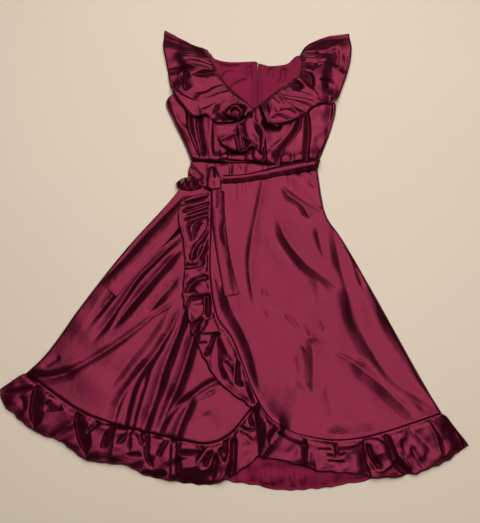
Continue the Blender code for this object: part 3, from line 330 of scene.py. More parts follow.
UNDER_RUFFLE_FOLDS = (
    Fold(((-48, -43.7), (-54.5, -44.9), (-61, -45.7)), 1.7, -1.3, RIGHT),
    Fold(((-49.4, -40.6), (-50.9, -44.6), (-51.4, -48), (-51.1, -51), (-50, -54.6)), 3.6, -1.5, LEFT),
    Fold(((-52.8, -43.6), (-52.5, -54)), 1.2, 0.25),
    Fold(((-54.8, -45.4), (-52.6, -50.4)), 0.9, -0.4),
    Fold(((-48, -49.7), (-42.8, -49.4)), 2.6, -1.2, LEFT),
    Fold(((-49.8, -48.4), (-47, -46.9), (-44.4, -45.8)), 0.5, 0.31),
    Fold(((-37.8, -49.6), (-42, -53.4), (-47.4, -57.8)), 1.9, -1.3, RIGHT),
    Fold(((-39.4, -47.2), (-39.6, -51), (-39.3, -54), (-38.2, -57), (-36.2, -61)), 3.6, -1.7, LEFT),
    Fold(((-35.8, -53.2), (-35.3, -57), (-36, -61.6)), 0.7, 0.3),
    Fold(((-32.2, -50.6), (-34.6, -53.2), (-37.2, -56)), 0.6, -0.9),
    Fold(((-42.2, -47.6), (-40, -50.4)), 0.45, -0.6),
    Fold(((-28.9, -52.8), (-31.7, -55.4), (-32.8, -59.6)), 2.0, -1.3, LEFT),
    Fold(((-29.4, -51.2), (-29.1, -57), (-30.3, -63.4)), 0.8, 0.3),
    Fold(((-24, -53.2), (-26.6, -55.8), (-29.2, -58.4)), 0.7, -1.1),
    Fold(((-25.9, -53.2), (-25.5, -60)), 0.4, -0.7),
    Fold(((-24.3, -53.2), (-22.9, -56.4), (-21.6, -59)), 0.75, -1.2),
    Fold(((-26.4, -60.6), (-21.8, -60.7)), 1.1, -0.8, LEFT),
    Fold(((-20.9, -52.6), (-21.2, -60), (-19, -64.2)), 0.6, -1.4),
    Fold(((-23, -65.2), (-19, -65.8), (-15.2, -65)), 1.9, -1.3, LEFT),
    Fold(((-15.4, -56.2), (-17, -58.4), (-18.6, -61.4)), 0.55, -1.0),
    Fold(((-15.3, -55.6), (-15.3, -67)), 0.35, -0.3),
    Fold(((-14.4, -55.6), (-14.2, -67.6)), 0.8, 0.3),
    Fold(((-13.2, -55.6), (-13.1, -62), (-12.9, -68.4)), 0.45, -1.2),
    Fold(((-14, -60.2), (-10.4, -60.4), (-6.4, -59.7)), 2.4, -1.5, LEFT),
    Fold(((-15, -67.6), (-9, -67.9), (-2.4, -67.2)), 4.0, -1.7, LEFT),
    Fold(((-13.6, -62.9), (-10, -63.3), (-6.6, -62.8)), 0.7, 0.3),
    Fold(((-4.4, -56.6), (-6.4, -59.8), (-8.2, -62.4), (-7.2, -64.2), (-5.2, -63), (-3.4, -58.8)),
         0.5, 0.37),
    Fold(((-4.5, -59), (-6.7, -63.6)), 0.5, -1.0),
    Fold(((-6.2, -57.2), (-9.2, -61.8)), 0.5, -0.7),
    Fold(((-3.4, -59.8), (-5, -67.2)), 0.75, -1.3),
    Fold(((-2.7, -58.2), (-1.4, -62.4)), 0.55, -1.0),
    Fold(((-1.5, -54.4), (-1.3, -61.8)), 0.6, -1.3),
    Fold(((-0.1, -54), (-0.5, -60), (-1.4, -64.4), (-3.6, -68)), 0.5, 0.31),
    Fold(((0.7, -54.4), (0.7, -61), (-0.1, -67.6)), 0.7, -1.4),
    Fold(((3.5, -54.4), (4.2, -59.4)), 0.9, -0.5),
    Fold(((1.4, -52.8), (4, -54.6), (7, -54)), 0.4, -0.7),
    Fold(((1.8, -53.8), (5.8, -57.6)), 0.4, -0.6),
    Fold(((4, -49.6), (6, -54.4)), 0.5, -0.8),
)
BACK_RUFFLE_FOLDS = (
    Fold(((-1.4, -59), (-1.8, -69)), 0.6, 0.3),
    Fold(((1.6, -59), (2.2, -69)), 0.6, 0.3),
    Fold(((8.4, -60), (8.2, -69)), 0.6, 0.34),
    Fold(((10.4, -60), (10.6, -69)), 0.5, 0.3),
    Fold(((15.6, -60), (15.4, -69)), 0.5, 0.3),
    Fold(((20.6, -60), (21, -69)), 0.6, 0.3),
    Fold(((23.2, -60), (23.4, -69)), 0.6, 0.34),
    Fold(((12.4, -60), (12.6, -68)), 0.5, 0.25),
    Fold(((14, -60), (14.2, -68.6)), 0.4, -0.2),
    Fold(((17, -60), (16.4, -65), (17.4, -68.6)), 0.4, -0.25),
    Fold(((18.2, -60), (18, -68.6)), 0.5, 0.3),
    Fold(((5, -60), (5.4, -67)), 0.7, 0.25),
    Fold(((26, -60), (26.6, -67.6)), 0.7, 0.25),
    Fold(((-20, -57), (-21, -63)), 0.7, 0.25),
    Fold(((-40, -51), (-43, -56)), 0.7, 0.25),
    Fold(((42, -56), (44, -63)), 0.7, 0.25),
)
BODICE_BACK_FOLDS = (
    Fold(((-3.4, 51.4), (-1.6, 53.4), (0.4, 54.6)), 0.8, 0.34),
    Fold(((-1, 47.6), (2, 49.6), (5.4, 51.4)), 0.8, 0.32),
    Fold(((5.6, 50), (5.2, 54), (5.6, 57)), 0.7, 0.26),
    Fold(((12.4, 50.4), (12, 53), (12.8, 56)), 0.7, 0.3),
    Fold(((14.4, 48.6), (15.8, 52), (16.4, 56)), 0.8, 0.34),
    Fold(((-4.6, 56.6), (-1, 55.4), (3, 56.4)), 0.8, 0.26),
)
BODICE_RIGHT_FOLDS = (
    Fold(((-19.6, 45), (-17, 36), (-14.4, 32.4), (-12.4, 29.2), (-11.3, 26.4), (-8.6, 22.6)), 1.0, 0.4),
    Fold(((-13.6, 42), (-13.2, 35), (-12.4, 31), (-10.9, 27), (-8.9, 21.6)), 2.4, -1.25, LEFT, -0.4),
    Fold(((-10.8, 42), (-10.5, 35), (-10, 31), (-9.2, 27), (-8, 21.6)), 2.3, -1.25, LEFT, -0.4),
    Fold(((-6.7, 40), (-6.5, 31), (-6.2, 20)), 0.6, 0.25),
    Fold(((-5.3, 37), (-5.3, 30), (-5, 22)), 0.6, -0.5),
    Fold(((-4.2, 37), (-4.2, 25)), 0.5, 0.25),
    Fold(((-9.4, 26), (-8.8, 20)), 0.4, -0.4),
    Fold(((-3.2, 27), (-2.6, 20)), 0.6, -0.5),
    Fold(((-1.2, 26), (-1.5, 20)), 0.6, -0.45),
    Fold(((1.2, 26), (1.4, 20)), 0.6, -0.45),
)
BODICE_LEFT_FOLDS = (
    Fold(((8.6, 33.8), (12, 34.2), (15.6, 33.4)), 1.7, -0.9),
    Fold(((3.8, 42), (5, 38.4), (5.8, 34)), 1.5, -0.9, LEFT),
    Fold(((5.4, 42), (6.8, 38.4), (7.8, 34)), 1.5, -0.9, LEFT),
    Fold(((20.4, 38), (17.4, 31.8), (14.6, 28), (11.8, 25.2), (11.6, 18)), 0.9, 0.3),
    Fold(((21.8, 40), (20.2, 33.6), (18, 29.6), (15.4, 26.4), (14, 22), (13.6, 16)), 1.8, -1.15, RIGHT),
    Fold(((22.9, 41), (23.2, 32), (22.4, 25), (21.9, 17)), 1.9, -1.1, RIGHT),
    Fold(((30.6, 46), (29.6, 35), (27.4, 27), (25.8, 17)), 3.6, -0.7, RIGHT),
    Fold(((9.6, 31.6), (9.8, 25), (10, 17)), 1.2, -0.85, RIGHT),
    Fold(((18.1, 26), (17.5, 18)), 0.6, -0.4),
    Fold(((3.4, 26), (3.2, 19)), 0.6, -0.4),
    Fold(((5.6, 26), (6.2, 19)), 0.6, -0.4),
)
COLLAR_RIGHT_FOLDS = (
    Fold(((-4.4, 56.6), (-11, 61.2), (-16, 64), (-27, 68.6)), 2.4, -1.15, LEFT, 0.8),
    Fold(((-5, 56.9), (-8, 59), (-12, 62)), 0.35, 0.25),
    Fold(((-4.4, 58), (-7.4, 60.6), (-10.4, 63.2)), 0.4, -0.6),
    Fold(((-4.6, 56.4), (-8.6, 59.8), (-11.4, 62.2)), 0.35, -0.6),
    Fold(((-3.6, 54.2), (-8, 57), (-10.4, 58.4), (-15, 59)), 0.6, -0.9),
    Fold(((-3.2, 53.4), (-8, 55.8), (-13.4, 57.8)), 0.5, -0.8),
    Fold(((-3.4, 54.4), (-8, 56.5), (-12.4, 58.2), (-19, 57.4)), 0.4, 0.22),
    Fold(((-2.6, 52.2), (-8, 54.2), (-11, 55.2), (-16, 56)), 0.5, -0.85),
    Fold(((-2.4, 52), (-8, 53.2), (-12.4, 54.8), (-18, 57.4)), 0.5, 0.22),
    Fold(((-1.6, 52.2), (-6.5, 52.3), (-13.4, 51.4)), 2.1, -1.15, LEFT),
    Fold(((-11.6, 53.6), (-15.5, 54.6), (-23.4, 53.2)), 2.4, -1.0, LEFT),
    Fold(((-15.4, 54), (-15.2, 50.4), (-14, 44.6)), 2.6, -1.1, LEFT),
    Fold(((-20, 51), (-17.4, 46.6), (-14, 43.9), (-9, 41.6)), 0.9, -0.9),
    Fold(((-19.6, 48), (-14.6, 43.2), (-9, 41)), 0.4, 0.25),
    Fold(((0.4, 49.2), (-6, 47), (-9.4, 45.2), (-15.6, 44.8)), 0.8, -0.9),
    Fold(((0.6, 47.6), (-5, 46), (-8, 43.9), (-13, 42)), 0.7, 0.4),
    Fold(((1, 46.6), (-4, 45.2), (-7, 43.4), (-11.4, 42.2)), 0.55, -1.0),
    Fold(((1.2, 45.6), (-4, 43.6), (-11.4, 41.6)), 0.6, 0.19),
    Fold(((2.4, 45.6), (-1, 43), (-3.4, 40.6), (-7, 38.6)), 0.8, -1.0),
    Fold(((-2, 43), (-7, 40.4), (-11, 38.6)), 0.6, -0.45),
    Fold(((-2, 41.2), (-5, 37.6), (-6.8, 34)), 1.4, -0.8),
    Fold(((-0.4, 41.8), (3.4, 43.4)), 0.55, -0.9),
    Fold(((-18, 46.8), (-14.8, 41), (-12.2, 36.4)), 1.2, 0.3),
    Fold(((-11.2, 41), (-10.6, 38.6), (-10.2, 36)), 0.9, -0.6),
)
COLLAR_LEFT_FOLDS = (
    Fold(((17, 58), (24.4, 63), (28.4, 65.6), (33, 66.4), (41, 66.8)), 3.6, -1.2, RIGHT),
    Fold(((24, 60.2), (29, 61.2), (32.6, 62.8), (36.6, 66.4)), 0.6, 0.25),
    Fold(((20.2, 60), (24, 60.8), (28, 60.2)), 2.1, -1.15, RIGHT),
    Fold(((25, 57.7), (29, 59.2), (33.2, 61.4)), 0.4, -0.8),
    Fold(((20.6, 58.6), (26, 58.6), (32.4, 59.8)), 0.4, 0.22),
    Fold(((32.8, 63), (33.3, 59), (32.5, 54.4)), 3.0, -0.7, RIGHT),
    Fold(((19.6, 58), (26, 57.3), (32.6, 58)), 0.35, 0.25),
    Fold(((19.6, 57), (26, 56.3), (32.6, 57.4)), 0.6, -1.15),
    Fold(((19.4, 54.7), (23.4, 55.6), (27.6, 55)), 2.5, -1.15, RIGHT),
    Fold(((20, 55.6), (25, 55.4), (30.4, 56.6)), 0.35, 0.22),
    Fold(((24.2, 52.4), (27, 55.2), (31, 57)), 0.55, -0.9),
    Fold(((18, 51.4), (22.4, 52.2), (24.3, 50.4), (24.5, 45.4)), 2.7, -1.15, RIGHT),
    Fold(((17.6, 52.4), (21.5, 48.5), (24.2, 45.6), (26.6, 42.8)), 0.7, 0.4),
    Fold(((30, 49.6), (29.9, 45), (29.2, 40)), 4.3, -1.15, RIGHT),
    Fold(((26.8, 49.6), (32.2, 50.2)), 1.6, -0.8, RIGHT),
    Fold(((14, 47.2), (18, 48.6), (22.4, 46.2)), 2.7, -1.15, RIGHT),
    Fold(((11.6, 46.8), (16, 45), (20, 44.7), (26.4, 42.6)), 0.5, 0.22),
    Fold(((14, 45.2), (18, 43.7), (22, 43.1), (27, 41.2)), 0.45, -0.8),
    Fold(((14.6, 43.6), (18.5, 42.3), (22, 41.8), (26.4, 39.4)), 0.45, -0.8),
    Fold(((15, 43), (20, 41), (25.4, 38.4)), 0.5, 0.22),
    Fold(((16, 42), (20, 39.4), (23.4, 37.6)), 0.6, -0.7),
    Fold(((12.4, 47), (15.8, 42.4), (18.4, 39.6), (21.4, 35)), 0.45, 0.31),
    Fold(((12.6, 45.6), (16, 41), (18.6, 38.4), (20.4, 34.8)), 0.55, -0.9),
    Fold(((12, 46.2), (12, 40.6), (14.3, 34.6)), 0.6, 0.25),
    Fold(((10.6, 45.6), (11.5, 40.8), (11.6, 36.8)), 0.55, -1.0),
    Fold(((12.4, 44), (15, 40.6)), 0.55, -0.9),
    Fold(((14.2, 39.2), (18.8, 39.7)), 0.7, -0.9),
    Fold(((12.8, 36.8), (16.6, 38.5), (20.2, 36.2)), 0.5, 0.2),
    Fold(((11.6, 35.4), (14.4, 37), (18.8, 35)), 1.2, -0.5, RIGHT),
    Fold(((35.6, 61.6), (35.8, 57), (34.8, 52)), 2.4, -0.5, RIGHT),
)
CASCADE_FOLDS = (
    Fold(((-5.4, 28), (-2.4, 29.9), (0, 31), (2.8, 32.6)), 0.8, -0.75),
    Fold(((-4.4, 26.2), (-0.5, 24.9), (2, 24.8), (4, 25.5), (7, 28)), 0.4, 0.35),
    Fold(((7.4, 25), (5.4, 27.8), (3.8, 29.4), (2.5, 31.6), (3.1, 35.4)), 0.4, 0.35),
    Fold(((0.6, 34.4), (1.4, 29.4), (2.7, 23)), 1.9, -0.95, LEFT),
    Fold(((2.4, 35.2), (3.2, 29.8), (4.5, 23)), 1.8, -0.95, LEFT),
    Fold(((5, 36.2), (7, 31.4), (8, 28), (7.7, 22)), 1.2, -0.85),
    Fold(((4.4, 37.2), (7.8, 33.5), (9.3, 31), (9.1, 28), (8.4, 21.6)), 0.6, 0.35),
)
TAIL_LONG_FOLDS = (
    Fold(((-4.2, 13), (-4, 9), (-4.2, 5.4)), 1.6, -0.4, RIGHT),
    Fold(((-2, 3), (-2.2, -2), (-1, -6)), 1.6, -0.4, RIGHT),
    Fold(((0.8, -7), (1.2, -12), (2.4, -20)), 2.4, -0.5, RIGHT),
)
TAIL_SIDE_FOLDS = (
    Fold(((-14, 6), (-22, -4.4), (-32, -16)), 0.6, 0.12),
)
BELT_FOLDS = (
    Fold(((-12, 14), (-2.6, 14.1), (4, 14.9), (14, 16.9), (25.3, 19.3), (34, 21)), 1.5, -0.92, LEFT),
)
BELT_SIDE_FOLDS = (
    Fold(((-14, 22.6), (-12.3, 21.2), (-10.4, 19.1), (-8.2, 17), (-6.6, 15.4)), 2.6, -0.7, RIGHT),
    Fold(((-12.6, 18.8), (-9, 15.6)), 0.4, -0.3),
)
BAND_FOLDS = (
    Fold(((-0.5, 24), (-0.4, 19), (-0.6, 14)), 0.5, -0.4),
    Fold(((3, 24), (3.3, 19), (3, 14)), 1.0, -0.45),
    Fold(((9.4, 25), (9.9, 20), (10.1, 15)), 1.2, -0.5),
    Fold(((-5.4, 24), (-5.6, 19), (-5.2, 14)), 0.6, -0.4),
    Fold(((-8.6, 24), (-8.2, 19), (-7.8, 14)), 1.0, -0.45),
    Fold(((15.4, 25), (15.6, 20)), 0.6, -0.3),
)
LOOP_FOLDS = (
    Fold(((-15.3, 19), (-15.5, 14.5), (-14.9, 10)), 1.9, -1.15, LEFT),
    Fold(((-13.3, 19), (-13.4, 14.5), (-12.8, 10)), 1.9, -1.15, LEFT),
    Fold(((-11.2, 19), (-11.4, 14.5), (-10.8, 10)), 1.9, -1.15, LEFT),
)
KNOT_FOLDS = (
    Fold(((-4.9, 20.6), (-4.9, 17.6), (-5.1, 15)), 0.35, -0.6),
    Fold(((-7.4, 15.8), (-7.3, 14), (-7.8, 12)), 0.3, -0.25),
    Fold(((-5.6, 15), (-5.2, 13.4), (-5.2, 11.8)), 0.3, -0.2),
)

# ---------------------------------------------------------------------------------------------------
# Settings that a user would change
# ---------------------------------------------------------------------------------------------------


class DressSizes(bpy.types.PropertyGroup):
    """Sizes of the cloth and of the mesh that stands for it."""
    thickness: bpy.props.FloatProperty(
        name="Cloth thickness", description="Thickness of the satin with its folded edges",
        default=0.0006, min=0.0003, max=0.002, unit="LENGTH")
    gap: bpy.props.FloatProperty(
        name="Layer gap", description="Air between one layer and the next",
        default=0.0003, min=0.0001, max=0.002, unit="LENGTH")
    fineness: bpy.props.FloatProperty(
        name="Panel grid", description="Spacing of the points on the large panels",
        default=0.0036, min=0.002, max=0.02, unit="LENGTH")
    ruffle_fineness: bpy.props.FloatProperty(
        name="Ruffle grid", description="Spacing of the points on the ruffles",
        default=0.0021, min=0.002, max=0.02, unit="LENGTH")
    panel_air: bpy.props.FloatProperty(
        name="Air under panels", description="Height of the front panels over what they lie on",
        default=0.0105, min=0.0, max=0.02, unit="LENGTH")
    fold_depth: bpy.props.FloatProperty(
        name="Fold depth", description="Scales the height of every fold",
        default=1.0, min=0.0, max=2.0, subtype="FACTOR")
    hem_width: bpy.props.FloatProperty(
        name="Rolled hem", description="Width of the narrow hem round the ruffles",
        default=0.006, min=0.002, max=0.02, unit="LENGTH")


class DressColours(bpy.types.PropertyGroup):
    """Colours of the cloth and of the floor."""
    satin: bpy.props.FloatVectorProperty(
        name="Satin", description="Right side of the satin", subtype="COLOR", size=3,
        default=(0.127, 0.012, 0.0315), min=0, max=1)
    wrong_side: bpy.props.FloatVectorProperty(
        name="Wrong side", description="Wrong side of the satin", subtype="COLOR", size=3,
        default=(0.12, 0.005, 0.024), min=0, max=1)
    tape: bpy.props.FloatVectorProperty(
        name="Zip tape", description="Woven tape of the zip", subtype="COLOR", size=3,
        default=(0.19, 0.012, 0.045), min=0, max=1)
    floor: bpy.props.FloatVectorProperty(
        name="Floor", description="Plain floor under the dress", subtype="COLOR", size=3,
        default=(0.72, 0.62, 0.52), min=0, max=1)


# ---------------------------------------------------------------------------------------------------
# Curves and grids
# ---------------------------------------------------------------------------------------------------
CURVE_STEPS = 24        # straight pieces between two knots of a curve
EDGE_BAND = 1.0         # of a piece, along a finished edge, that has a finer grid
EDGE_STEP = 0.14


def curve(points):
    """A fine smooth run of points through the given ones."""
    knots = np.array(points, float)
    if len(knots) == 2:
        return knots
    padded = np.vstack([2 * knots[0] - knots[1], knots, 2 * knots[-1] - knots[-2]])
    step = np.linspace(0, 1, CURVE_STEPS, endpoint=False)[:, None]
    fine = []
    for start in range(len(knots) - 1):
        before, here, there, after = padded[start:start + 4]
        fine.append(0.5 * (2 * here + (there - before) * step
                           + (2 * before - 5 * here + 4 * there - after) * step ** 2
                           + (3 * here - before - 3 * there + after) * step ** 3))
    return np.vstack(fine + [knots[-1:]])


def reach(run):
    """Distances along a run of points, from its start."""
    return np.concatenate([[0], np.cumsum(np.linalg.norm(np.diff(run, axis=0), axis=1))])


def at_shares(run, shares):
    """Points at shares (0 to 1) of the length of a run."""
    length = reach(run)
    stations = np.asarray(shares) * length[-1]
    return np.stack([np.interp(stations, length, column) for column in run.T], axis=1)


def smooth(points, shares):
    """Points at shares of the length of the smooth curve through the given points."""
    return at_shares(curve(points), shares)


def length_of(points):
    """Length of the smooth curve through the given points."""
    return reach(curve(points))[-1]


def spaced(length, step, fine_start=False, fine_end=False):
    """Shares of a length, a step apart, and closer together near the ends that are finished edges."""
    marks = np.linspace(0, length, max(2, int(round(length / step)) + 1))
    close = np.arange(0, EDGE_BAND, EDGE_STEP)
    if fine_start:
        marks = np.concatenate([close, marks[marks > EDGE_BAND]])
    if fine_end:
        marks = np.concatenate([marks[marks < length - EDGE_BAND], (length - close)[::-1]])
    return marks / length


def patch(sides, across, down):
    """A grid of points, rows from top to hem, that meets the four curves round it (a Coons patch)."""
    top, hem = smooth(sides.top, across), smooth(sides.hem, across)
    left, right = smooth(sides.left, down), smooth(sides.right, down)
    across = np.asarray(across)[None, :, None]
    down = np.asarray(down)[:, None, None]
    ruled = top[None] * (1 - down) + hem[None] * down
    lofted = left[:, None] * (1 - across) + right[:, None] * across
    corners = (top[0] * (1 - across) + top[-1] * across) * (1 - down)
    corners = corners + (hem[0] * (1 - across) + hem[-1] * across) * down
    return ruled + lofted - corners


def moved(points, x=0.0, y=0.0):
    """A curve moved sideways or towards the neck."""
    return tuple((point[0] + x, point[1] + y) for point in points)


def inset(points, centre, amount):
    """A curve drawn in towards a centre line at x = centre."""
    return tuple((x + amount * (1 if x < centre else -1), y) for x, y in points)


def between(start, points, end):
    """A curve with its first and last points put in place of its own."""
    return (start,) + points[1:-1] + (end,)


def backwards(points):
    """A curve taken from its last point to its first."""
    return tuple(reversed(points))


def from_row(points, row):
    """Distance of each point of a grid from the point in a given row of its column."""
    return np.linalg.norm(points - points[row][None], axis=2)


def ease(value):
    """A soft step from 0 to 1."""
    value = np.clip(value, 0, 1)
    return value * value * (3 - 2 * value)


# ---------------------------------------------------------------------------------------------------
# Folds, gathers and soft waves
# ---------------------------------------------------------------------------------------------------
FOLD_STEPS = 18         # stations along a fold's path
FOLD_ENDS = 0.25        # share of a fold's length over which it fades and narrows at each end
FOLD_POINT = 0.55       # its width at the very end, as a share of the full one
FOLD_REACH = 2.6        # widths from its path beyond which a fold is as good as nil
RIDGE_POWER = 2.0
TROUGH_POWER = 1.6
RAMP_POWER = 1.35       # how much steeper a one-sided fold's ramp is at its crest
OVERHANG = 0.25         # how far a one-sided fold leans over its steep side for its height
COMBINE = 3.0           # how far the deepest of the folds that meet at a point wins

# The other side of a one-sided fold, as a share of its width: a cliff on ruffles, a slope on panels
RUFFLE_BACK = 0.15
BODICE_BACK = 0.35
COLLAR_BACK = 0.5
UNDER_BACK = 1.0
PANEL_BACK = 1.7
BACK_LEAST = 0.22
STEEPEST = 9.0          # of a fold's width, for its depth: no limit in practice
COLLAR_STEEPEST = 0.42

WAVE_COUNT = 9
WAVE_LENGTHS = (0.7, 1.6)       # range, as shares of the length given
WAVE_FANNING = 0.35             # how far the waves stray from their heading, an angle
GATHER_SPACING = (0.55, 1.45)   # ranges, as shares of the pitch, height and depth given
GATHER_HEIGHTS = (0.45, 1.3)
GATHER_DEPTHS = (0.5, 1.5)
GATHER_FADE = 1.5

Waves = namedtuple("Waves", "length height")
Gathers = namedtuple("Gathers", "pitch height depth")


def nearest(points, path):
    """Distance of each point to the left of a run, the share along it, and the run's left normal."""
    step = np.diff(path, axis=0)
    offset = points[:, None] - path[None, :-1]
    share = np.clip((offset * step).sum(-1) / (step ** 2).sum(1), 0, 1)
    gap = offset - share[..., None] * step
    square = (gap ** 2).sum(-1)
    best = square.argmin(1)
    rows = np.arange(len(points))
    normal = np.stack([-step[:, 1], step[:, 0]], axis=1)
    normal /= np.linalg.norm(normal, axis=1)[:, None]
    side = np.where((gap[rows, best] * normal[best]).sum(1) < 0, -1.0, 1.0)
    return side * np.sqrt(square[rows, best]), (best + share[rows, best]) / len(step), normal[best]


def profile(fold, distance, width, back):
    """Share of a fold's rise at distances to the left of its crest."""
    if fold.side == BOTH:
        power = RIDGE_POWER if fold.rise > 0 else TROUGH_POWER
        return np.exp(-(np.abs(distance) / width) ** power)
    distance = distance * fold.side
    ramp = (1 - np.clip(distance / width, 0, 1)) ** RAMP_POWER
    other = (1 - np.clip(-distance / np.maximum(back * width, BACK_LEAST), 0, 1)) ** RAMP_POWER
    return np.where(distance > 0, ramp, other)


def fold_relief(plan, folds, depth=1.0, back=RUFFLE_BACK, steepest=STEEPEST):
    """Height and sideways shift that the folds give each point of a plan."""
    flat = plan.reshape(-1, 2)
    ridges = np.zeros(len(flat))
    troughs = np.zeros(len(flat))
    shift = np.zeros_like(flat)
    for fold in folds:
        path = smooth(fold.path, np.linspace(0, 1, FOLD_STEPS))
        margin = FOLD_REACH * fold.width * (1 + abs(fold.flare))
        inside = ((flat > path.min(0) - margin) & (flat < path.max(0) + margin)).all(1)
        if not inside.any():
            continue
        distance, share, normal = nearest(flat[inside], path)
        fade = ease(share / FOLD_ENDS) * ease((1 - share) / FOLD_ENDS)
        width = fold.width * (1 + fold.flare * share) * (FOLD_POINT + (1 - FOLD_POINT) * fade)
        rise = min(abs(fold.rise) * depth, steepest * fold.width)
        crest = rise * fade * profile(fold, distance, width, back)
        heights = ridges if fold.rise > 0 else troughs
        heights[inside] += crest ** COMBINE
        if back < 1:
            shift[inside] -= normal * (crest * OVERHANG * fold.side)[:, None]
    height = ridges ** (1 / COMBINE) - troughs ** (1 / COMBINE)
    return height.reshape(plan.shape[:-1]), shift.reshape(plan.shape)


def waves(plan, seed, kind, heading=None):
    """Low soft waves in many directions, or mostly across one heading (an angle)."""
    draw = np.random.default_rng(seed)
    total = np.zeros(plan.shape[:-1])
    for _ in range(WAVE_COUNT):
        angle = draw.uniform(0, pi) if heading is None else heading + draw.normal(0, WAVE_FANNING)
        turns = 2 * pi / (kind.length * draw.uniform(*WAVE_LENGTHS))
        total += np.cos(turns * (plan[..., 0] * cos(angle) + plan[..., 1] * sin(angle))
                        + draw.uniform(0, 2 * pi))
    return total * kind.height / WAVE_COUNT ** 0.5


def gathers(along, out, seed, kind):
    """Puckers at a gathered seam: along it, each of its own size, and dying away from it."""
    draw = np.random.default_rng(seed)
    count = int(along.max() / kind.pitch) + 3
    marks = np.cumsum(draw.uniform(*GATHER_SPACING, count)) * kind.pitch - kind.pitch
    heights = draw.uniform(*GATHER_HEIGHTS, count)
    depths = draw.uniform(*GATHER_DEPTHS, count) * kind.depth
    phase = np.interp(along, marks, np.arange(count) * 2 * pi)
    height = np.interp(along, marks, heights)
    depth = np.interp(along, marks, depths)
    return kind.height * height * 0.5 * (1 - np.cos(phase)) * np.exp(-(out / depth) ** GATHER_FADE)


def seam_puckers(plan, seed, kind):
    """Small puckers of a panel along the seam at its hem."""
    along = np.broadcast_to(reach(plan[-1])[None], plan.shape[:2])
    return gathers(along, from_row(plan, -1), seed, kind)


def soft_floor(height, softness):
    """Heights kept above nil, with a rounded foot where they come down to it."""
    return softness * np.logaddexp(0, height / softness)


# ---------------------------------------------------------------------------------------------------
# The heap of pieces laid so far
# ---------------------------------------------------------------------------------------------------
CELL = 0.25             # side of a cell of the height maps
HEAP_LOW = np.array((-66.0, -76.0))     # corner of the maps
HEAP_SHAPE = (530, 610)                 # their cells each way
CELL_POINTS = 3         # points of a piece to each step of its grid, so that no cell is missed


def refined(points, parts):
    """A grid of points with each of its cells cut into parts both ways."""
    for axis in (0, 1):
        points = np.moveaxis(points, axis, 0)
        steps = np.arange((len(points) - 1) * parts + 1) / parts
        low = np.minimum(steps.astype(int), len(points) - 2)
        share = (steps - low).reshape(-1, 1, 1)
        points = np.moveaxis(points[low] * (1 - share) + points[low + 1] * share, 0, axis)
    return points


def beside(raster, axis):
    """The two neighbours of each cell along an axis."""
    return np.roll(raster, 1, axis), np.roll(raster, -1, axis)


def spread(raster):
    """The highest of each cell and its eight neighbours."""
    for axis in (0, 1):
        raster = np.maximum(raster, np.maximum(*beside(raster, axis)))
    return raster


def taut(raster, passes):
    """A cloth stretched over a raster: it touches the high places and spans the low ones."""
    cover = raster.copy()
    for _ in range(passes):
        (north, south), (west, east) = beside(cover, 0), beside(cover, 1)
        mean = 0.2 * (north + south + west + east + cover)
        cover = np.maximum(raster, mean)
    return cover


def read_raster(raster, plan):
    """Values of a raster at points of a plan."""
    place = (plan - HEAP_LOW) / CELL - 0.5
    low = np.clip(place.astype(int), 0, np.array(HEAP_SHAPE) - 2)
    share = np.clip(place - low, 0, 1)
    i, j = low[..., 0], low[..., 1]
    a, b = share[..., 0], share[..., 1]
    return ((raster[i, j] * (1 - a) + raster[i + 1, j] * a) * (1 - b)
            + (raster[i, j + 1] * (1 - a) + raster[i + 1, j + 1] * a) * b)


class Heap:
    """How high the pieces laid so far reach over the floor."""

    def __init__(self):
        self.layers = {}

    def clear(self):
        """Forget every piece."""
        self.layers.clear()

    def add(self, name, points, half):
        """Remember the upper face of a piece, points in centimetres."""
        fine = refined(points, CELL_POINTS).reshape(-1, 3)
        cells = ((fine[:, :2] - HEAP_LOW) / CELL).astype(int)
        raster = np.zeros(HEAP_SHAPE)
        np.maximum.at(raster, (cells[:, 0], cells[:, 1]), fine[:, 2] + half)
        self.layers[name] = spread(raster)

    def top(self, without=None):
        """The top of the heap, with one piece left out of it if need be."""
        raster = np.zeros(HEAP_SHAPE)
        for name, layer in self.layers.items():
            if name != without:
                raster = np.maximum(raster, layer)
        return raster


HEAP = Heap()


def lift(sizes):
    """Height of a cloth's middle over what it lies on, in centimetres."""
    return (sizes.gap + sizes.thickness / 2) / CM


def rest(plan, own, sizes, passes, without=None):
    """Points in centimetres of a cloth that lies own high over the heap, and nowhere in it."""
    top = HEAP.top(without)
    cover = read_raster(taut(top, passes), plan)
    height = np.maximum(cover + own, read_raster(top, plan)) + lift(sizes)
    return np.dstack([plan, height])


# ---------------------------------------------------------------------------------------------------
# Materials
# ---------------------------------------------------------------------------------------------------
Finish = namedtuple("Finish", "metallic roughness")
RIGHT_SIDE = Finish(0.92, 0.32)
WRONG_SIDE = Finish(0.85, 0.42)
TAPE_ROUGHNESS = 0.75
FLOOR_ROUGHNESS = 0.55

# Pitches and widths in metres, scales in features to the metre
THREAD_PITCH = 0.0005
STITCH_PITCH = 0.003
STITCH_SHARE = 0.7      # of its pitch that a stitch takes up
STITCH_ROW = 0.0055     # from the finished edge
STITCH_WIDTH = 0.0006
TWILL_PITCH = 0.0016
RIB_PITCH = 0.0032
MOTTLE_SCALE = 22.0
CRUMPLE_SCALE = 75.0
CLOUD_SCALE = 1.4
SATIN_RELIEF = 0.0006   # height in metres that the bump stands for
TAPE_RELIEF = 0.0003
FLOOR_RELIEF = 0.0002
WEAVE_SLANT = 0.5
TWILL_SLANT = 1.7

